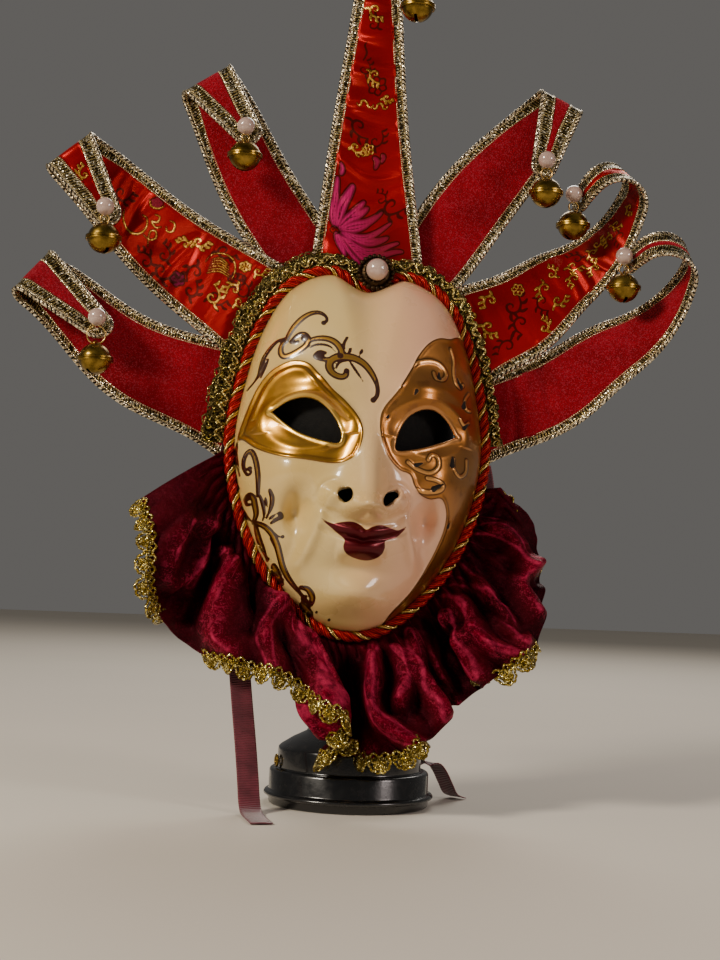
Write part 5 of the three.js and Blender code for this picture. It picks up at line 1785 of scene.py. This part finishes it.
# how far each place is from the lines of painted highlight that run along the velvet's folds
def foldLines(along, down, spot):
    flat = spot.reshape(-1, 2)
    wobble = 0.7 * np.sin(flat[:, 0] / 5 + 2) + 0.7 * np.sin(flat[:, 1] / 4)
    near = np.full(len(flat), 9.0)
    for index, (line, high, wide) in enumerate(ruffRidges):
        if high > 0:
            far = distanceTo(flat, evenly(curveThrough(line, 8), 3))
            near = np.minimum(near, np.abs(far - (0.0 if index % 2 else 0.55 * wide) - wobble))
    gathers = np.abs(np.sin(math.pi * (ruffSet["gathers"] * along + 0.6 * np.sin(11 * along)))) * 7
    return np.minimum(near, (gathers + 40 * np.maximum(down - 0.3, 0)).ravel())


def makeRuff():
    cols, rows = ruffSet["columns"], ruffSet["rows"]
    along, down = np.meshgrid(np.linspace(0, 1, cols), np.linspace(-ruffSet["tuck"], 1, rows),
                              indexing="ij")
    flatPlace = ruffPlace(along, down)
    lift = ruffFolds(along, np.clip(down, 0, 1), flatPlace[..., [0, 2]])
    lift = lift * smoothStep(np.minimum(along, 1 - along) / 0.02 + 0.15)
    points = flatPlace + ruffNormal(along, np.clip(down, 0.02, 0.97)) * lift[..., None]
    obj = meshFrom("ruffVelvet", fromMask(points.reshape(-1, 3)), gridFaces(cols, rows))
    # crest, the fold height, sets the painted sheen and the painted valley shade; fold is the
    # distance to the painted highlight lines
    mark(obj, crest=lift, fold=foldLines(along, down, flatPlace[..., [0, 2]]))
    hemLine = tube("ruffHem", fromMask(points[:, -1]), ruffSet["hemRound"], 8)
    # the hem counts as a little higher, for more painted sheen along it
    mark(hemLine, crest=np.repeat(lift[:, -1] + 1, 8), fold=np.full(cols * 8, 9.0))
    a, b = points[:-1, :-1], points[1:, :-1]
    c = points[:-1, 1:]
    area = np.linalg.norm(np.cross(b - a, c - a), axis=-1).sum() * mm * mm
    return obj, hemLine, area, points


def ruffMaterial():
    material, shader = newMaterial("crushedVelvet", Roughness=0.45, Metallic=0.1, Sheen_Weight=0.2,
                                   Sheen_Roughness=0.25, Sheen_Tint=(1, 0.05, 0.12, 1),
                                   Specular_IOR_Level=0.24, Specular_Tint=(1, 0.12, 0.2, 1))
    # the colour carries painted light and shade of the folds: sheen on the crests, bright lines
    # along them and in the crushed pile, near-black valleys and glints
    crushed = drift(240, -0.2, 1.0, 6)
    vein = ramp(farFrom(uneven(62, -1, 1, 3), 0), 0.02, 0.14, 1, 0)
    lift = attribute("crest")
    crest = ramp(lift, 1.5, 9.5)
    pile = glitter(1700)
    # painted sheen on the fold crests, more where the pile is crushed
    sheen = times(plus(times(crushed, 0.8), 0.1), crest)
    # painted highlight lines along the folds and in the crushed pile
    line = times(ramp(attribute("fold"), 0.2, 1.2, 1, 0), ramp(lift, -3.0, 4.0, 0.12, 0.75))
    veins = times(vein, ramp(lift, -1.0, 7.0, 0.04, 0.4))
    edge = times(larger(line, veins), plus(crushed, 0.3, clamp=True))
    # painted glints on the pile, mostly on the crests
    spark = times(isOver(pile[0], 0.82), ramp(lift, 0.0, 6.0, 0.05, 0.4))
    # the fold valleys go near-black: painted shade
    feed(shader, "Base Color", laid(
        "210005", (drift(34, -0.5, 1.3, 3), "45010c"), (sheen, "800622"), (edge, "c23058"),
        (ramp(lift, -5.0, 3.0, 0.95, 0), "080001"), (times(pile[0], 0.35), "140105"),
        (spark, "b42c4e")))
    feed(shader, "Roughness", mixValue(crushed, 0.62, 0.4))
    height = plus(times(pile[1], 0.3), times(crushed, 0.5))
    height = plus(height, times(edge, 0.9))
    bumpInto(shader, height, 0.0008, 0.7)
    return material


def laceMaterial():
    material, shader = newMaterial("goldLace", Metallic=0.9, Roughness=0.3)
    speck = glitter(1500)
    # the brightest specks are painted glints
    feed(shader, "Base Color", laid(
        "3e3108", (speck[0], "b99a30"), (isOver(speck[0], 0.78), "fff0a0")))
    feed(shader, "Roughness", mixValue(speck[0], 0.5, 0.18))
    bumpInto(shader, speck[1], 0.0003, 0.8)
    return material


# lace pattern of one scallop, along and down: fans of curled thread under a wavy header
def laceLines(seed):
    local = np.random.default_rng(seed)
    lines = []
    for i in range(7):
        angle = math.radians(-78 + 26 * i) + local.uniform(-0.1, 0.1)
        turn = np.linspace(0, 2 * math.pi, 11)
        reach = 5.6 - 0.35 * abs(i - 3) + local.uniform(-0.4, 0.4)
        x, y = reach * (0.5 - 0.5 * np.cos(turn)), 1.25 * np.sin(turn)
        lines.append(np.stack([x * math.sin(angle) + y * math.cos(angle),
                               3.0 + x * math.cos(angle) - y * math.sin(angle)], 1))
    turn = np.linspace(0, 5 * math.pi, 26)
    opened = 0.8 + 0.22 * turn / 3
    lines.append(np.stack([opened * np.sin(turn) * 1.6, 5.2 + opened * np.cos(turn) * 1.3], 1))
    turn = np.radians(np.linspace(-96, 96, 27))
    picot = 7.0 + 0.8 * np.abs(np.sin(turn * 6)) + local.uniform(-0.2, 0.2)
    lines.append(np.stack([picot * np.sin(turn), 1.9 + picot * np.cos(turn)], 1))
    x = np.linspace(-laceSet["drawn"] / 2, laceSet["drawn"] / 2, 17)
    for y in (1.0 + 1.7 * np.sin(x * 2.27), -1.4 + 1.2 * np.cos(x * 0.757),
              2.7 + 0.3 * np.sin(x * 3 + 2)):
        lines.append(np.stack([x, y], 1))
    return lines


def makeLace(points):
    hem = points[:, -1]
    run = lengthAlong(hem)
    fall = squareTo(unit(np.gradient(hem, axis=0)), hem - points[:, -5])
    knots = np.linspace(0, len(ruffSet["hem"]) - 1, len(hem))
    shown = np.zeros(len(hem))
    for first, last in laceSet["shown"]:
        rising, falling = smoothStep((knots - first) / 0.35), smoothStep((last - knots) / 0.35)
        shown = np.maximum(shown, rising * falling)
    tucked = (1 - shown)[:, None] * (np.array([0, 5.5, 0]) - 6.5 * fall)
    fall = fall + (np.array([0, 1.0, 0]) - fall) * ((1 - shown) * 0.85)[:, None]
    for _ in range(12):
        fall[1:-1] = (fall[:-2] + fall[1:-1] + fall[2:]) / 3
    fall = unit(fall)
    count = int(round(run[-1] / laceSet["pitch"]))
    out = []
    for k in range(count):
        middle = (k + 0.5) * run[-1] / count
        for j, line in enumerate(laceLines(k)):
            at = np.clip(middle + line[:, 0] * run[-1] / count / laceSet["drawn"], 0, run[-1])
            start = rowsAt(at, run, hem) + rowsAt(at, run, tucked)
            down = rowsAt(at, run, fall)
            stand = 1.2 + 0.5 * np.sin(line[:, :1] * 1.1 + k) + 0.5 * (j % 3)
            away = np.array([0, -1.0, 0]) * np.interp(at, run, shown)[:, None] * stand
            path = start + down * line[:, 1:] + away
            thick = laceSet["thread"] * (1.3 if j > 7 else 1)
            out.append(tube("laceThread", fromMask(path), thick, 4))
    return joined("ruffLace", out)


crushedVelvet, goldLace = ruffMaterial(), laceMaterial()
ruff, ruffHem, ruffArea, ruffPoints = makeRuff()
applyModifier(ruff, "SOLIDIFY", thickness=ruffSet["thick"] * mm, offset=0)
dress(ruff, crushedVelvet)
dress(ruffHem, crushedVelvet)
ruff = joined("ruffVelvet", [ruff, ruffHem])
lace = dress(makeLace(ruffPoints), goldLace)
for obj, node, slot in ((ruff, "ruff", "ruff_velvet"), (lace, "ruff_lace", "gold_lace")):
    standFor(obj, node, slot)
print("ruff", round(ruffArea, 4))


# the stand: turned base with a neck and a plain head form

standSet = {
    "base": [
        (0, 0), (49.4, 0), (50, 0.6), (50.4, 4.8), (52.4, 5.2), (53.2, 5.9), (53.2, 6.9),
        (52.4, 7.9), (50.4, 8.4), (50, 9.2), (50, 20.0), (49.4, 21.2), (48.4, 21.7), (45.4, 21.8),
        (45, 22.4), (45, 33.2), (44.6, 34.6), (43, 36), (36, 40.4), (29.5, 43.6), (27.5, 44.6),
        (27, 45.6), (0, 45.6)],
    "neck": [(0, 45.9), (26, 45.9), (24.8, 50), (23, 62), (20.6, 84), (18.9, 108), (18, 132),
             (0, 132)],
    "head": {"bottom": 132.3, "top": 318, "widest": 236, "half": 63.5, "foot": 25, "deep": 1.17,
             "y": 9, "rings": 32},
    "catch": {"radius": 3.2, "wire": 0.9, "out": 46.6, "z": 26.3, "angle": 188},
}


def glossMaterial():
    material, shader = newMaterial("blackGloss", Roughness=0.22, Coat_Weight=0.5,
                                   Coat_Roughness=0.08)
    dust = drift(240, -0.6, 0.6, 6)
    feed(shader, "Base Color", mixColour(dust, "0b0b0c", "1d1a18"))
    feed(shader, "Roughness", uneven(120, 0.16, 0.32))
    bumpInto(shader, uneven(500), 0.00005, 0.4)
    return material


def mattMaterial():
    material, shader = newMaterial("blackMatt", Roughness=0.8, Specular_IOR_Level=0.2)
    feed(shader, "Base Color", mixColour(uneven(300), "080808", "141312"))
    bumpInto(shader, uneven(900), 0.0002, 0.6)
    return material


blackGloss, blackMatt = glossMaterial(), mattMaterial()
base = turned("standBase", standSet["base"], 96)
sharpen(base, 0.4)
neck = turned("standNeck", standSet["neck"], 64)
sharpen(neck, 0.6)
h = standSet["head"]
profile = [(0, h["bottom"])]
for i in range(h["rings"] + 1):
    z = h["bottom"] + (h["top"] - h["bottom"]) * i / h["rings"]
    below = z < h["widest"]
    t = (z - h["widest"]) / ((h["bottom"] if below else h["top"]) - h["widest"])
    jaw = h["foot"] + (h["half"] - h["foot"]) * math.cos(math.pi / 2 * min(t, 1)) ** 0.8
    skull = h["half"] * math.sqrt(max(1 - t**2.2, 0)) if t >= 0 else 0
    profile.append((0 if i == h["rings"] else jaw if below else skull, z))
head = turned("headForm", profile, 72)
for v in head.data.vertices:
    v.co.x += maskSet["centre"][0] * mm
    v.co.y = v.co.y * h["deep"] + h["y"] * mm
c = standSet["catch"]
turn = math.radians(c["angle"])
catchAt = (c["out"] * math.cos(turn), c["out"] * math.sin(turn), c["z"])
catch = wireRing(c["radius"], c["wire"], catchAt, (90, 0, c["angle"] + 90), 32, 12)
catch.name = "standCatch"
for obj, node, slot, material in (
        (base, "stand_base", "black", blackGloss), (neck, "stand_neck", "black", blackGloss),
        (head, "head_form", "black", blackMatt), (catch, "stand_catch", "brass", bellBrass)):
    dress(obj, material)
    standFor(obj, node, slot)
print("stand")


# floor and light

studio = {
    "key": {"at": (-1.35, -0.95, 1.05), "size": 0.38, "power": 30, "tone": (1.0, 0.9, 0.76)},
    "fill": {"at": (1.3, -1.1, 0.75), "size": 0.45, "power": 9, "tone": (1.0, 0.86, 0.82)},
    "back": {"at": (0.5, 1.6, 1.7), "size": 1.2, "power": 22, "tone": (1.0, 0.95, 0.88)},
    "floor": {"tone": "ddd5c8", "size": 8, "below": 0.0002},
    "world": {"tone": (0.95, 0.91, 0.86), "power": 0.13}, "aim": (0, 0, 0.27),
}


def makeStudio():
    ground, sky = studio["floor"], studio["world"]
    bpy.ops.object.select_all(action="DESELECT")
    bpy.ops.mesh.primitive_plane_add(size=ground["size"], location=(0, 0, -ground["below"]))
    floor = bpy.context.object
    floor.name = "studioFloor"
    material, shader = newMaterial("studioFloor", Roughness=0.9)
    feed(shader, "Base Color", mixColour(uneven(3), colour(ground["tone"], 0.97), ground["tone"]))
    dress(floor, material)
    for name in ("key", "fill", "back"):
        light, asked = bpy.data.lights.new(name, "AREA"), studio[name]
        light.energy, light.size, light.color = asked["power"], asked["size"], asked["tone"]
        lamp = bpy.data.objects.new(name, light)
        bpy.context.collection.objects.link(lamp)
        lamp.location = asked["at"]
        way = Vector(studio["aim"]) - lamp.location
        lamp.rotation_euler = way.to_track_quat("-Z", "Y").to_euler()
    world = bpy.data.worlds.new("studio")
    world.use_nodes = True
    shining = world.node_tree.nodes["Background"].inputs
    shining["Color"].default_value = (*sky["tone"], 1)
    shining["Strength"].default_value = sky["power"]
    bpy.context.scene.world = world


makeStudio()
print("finish")
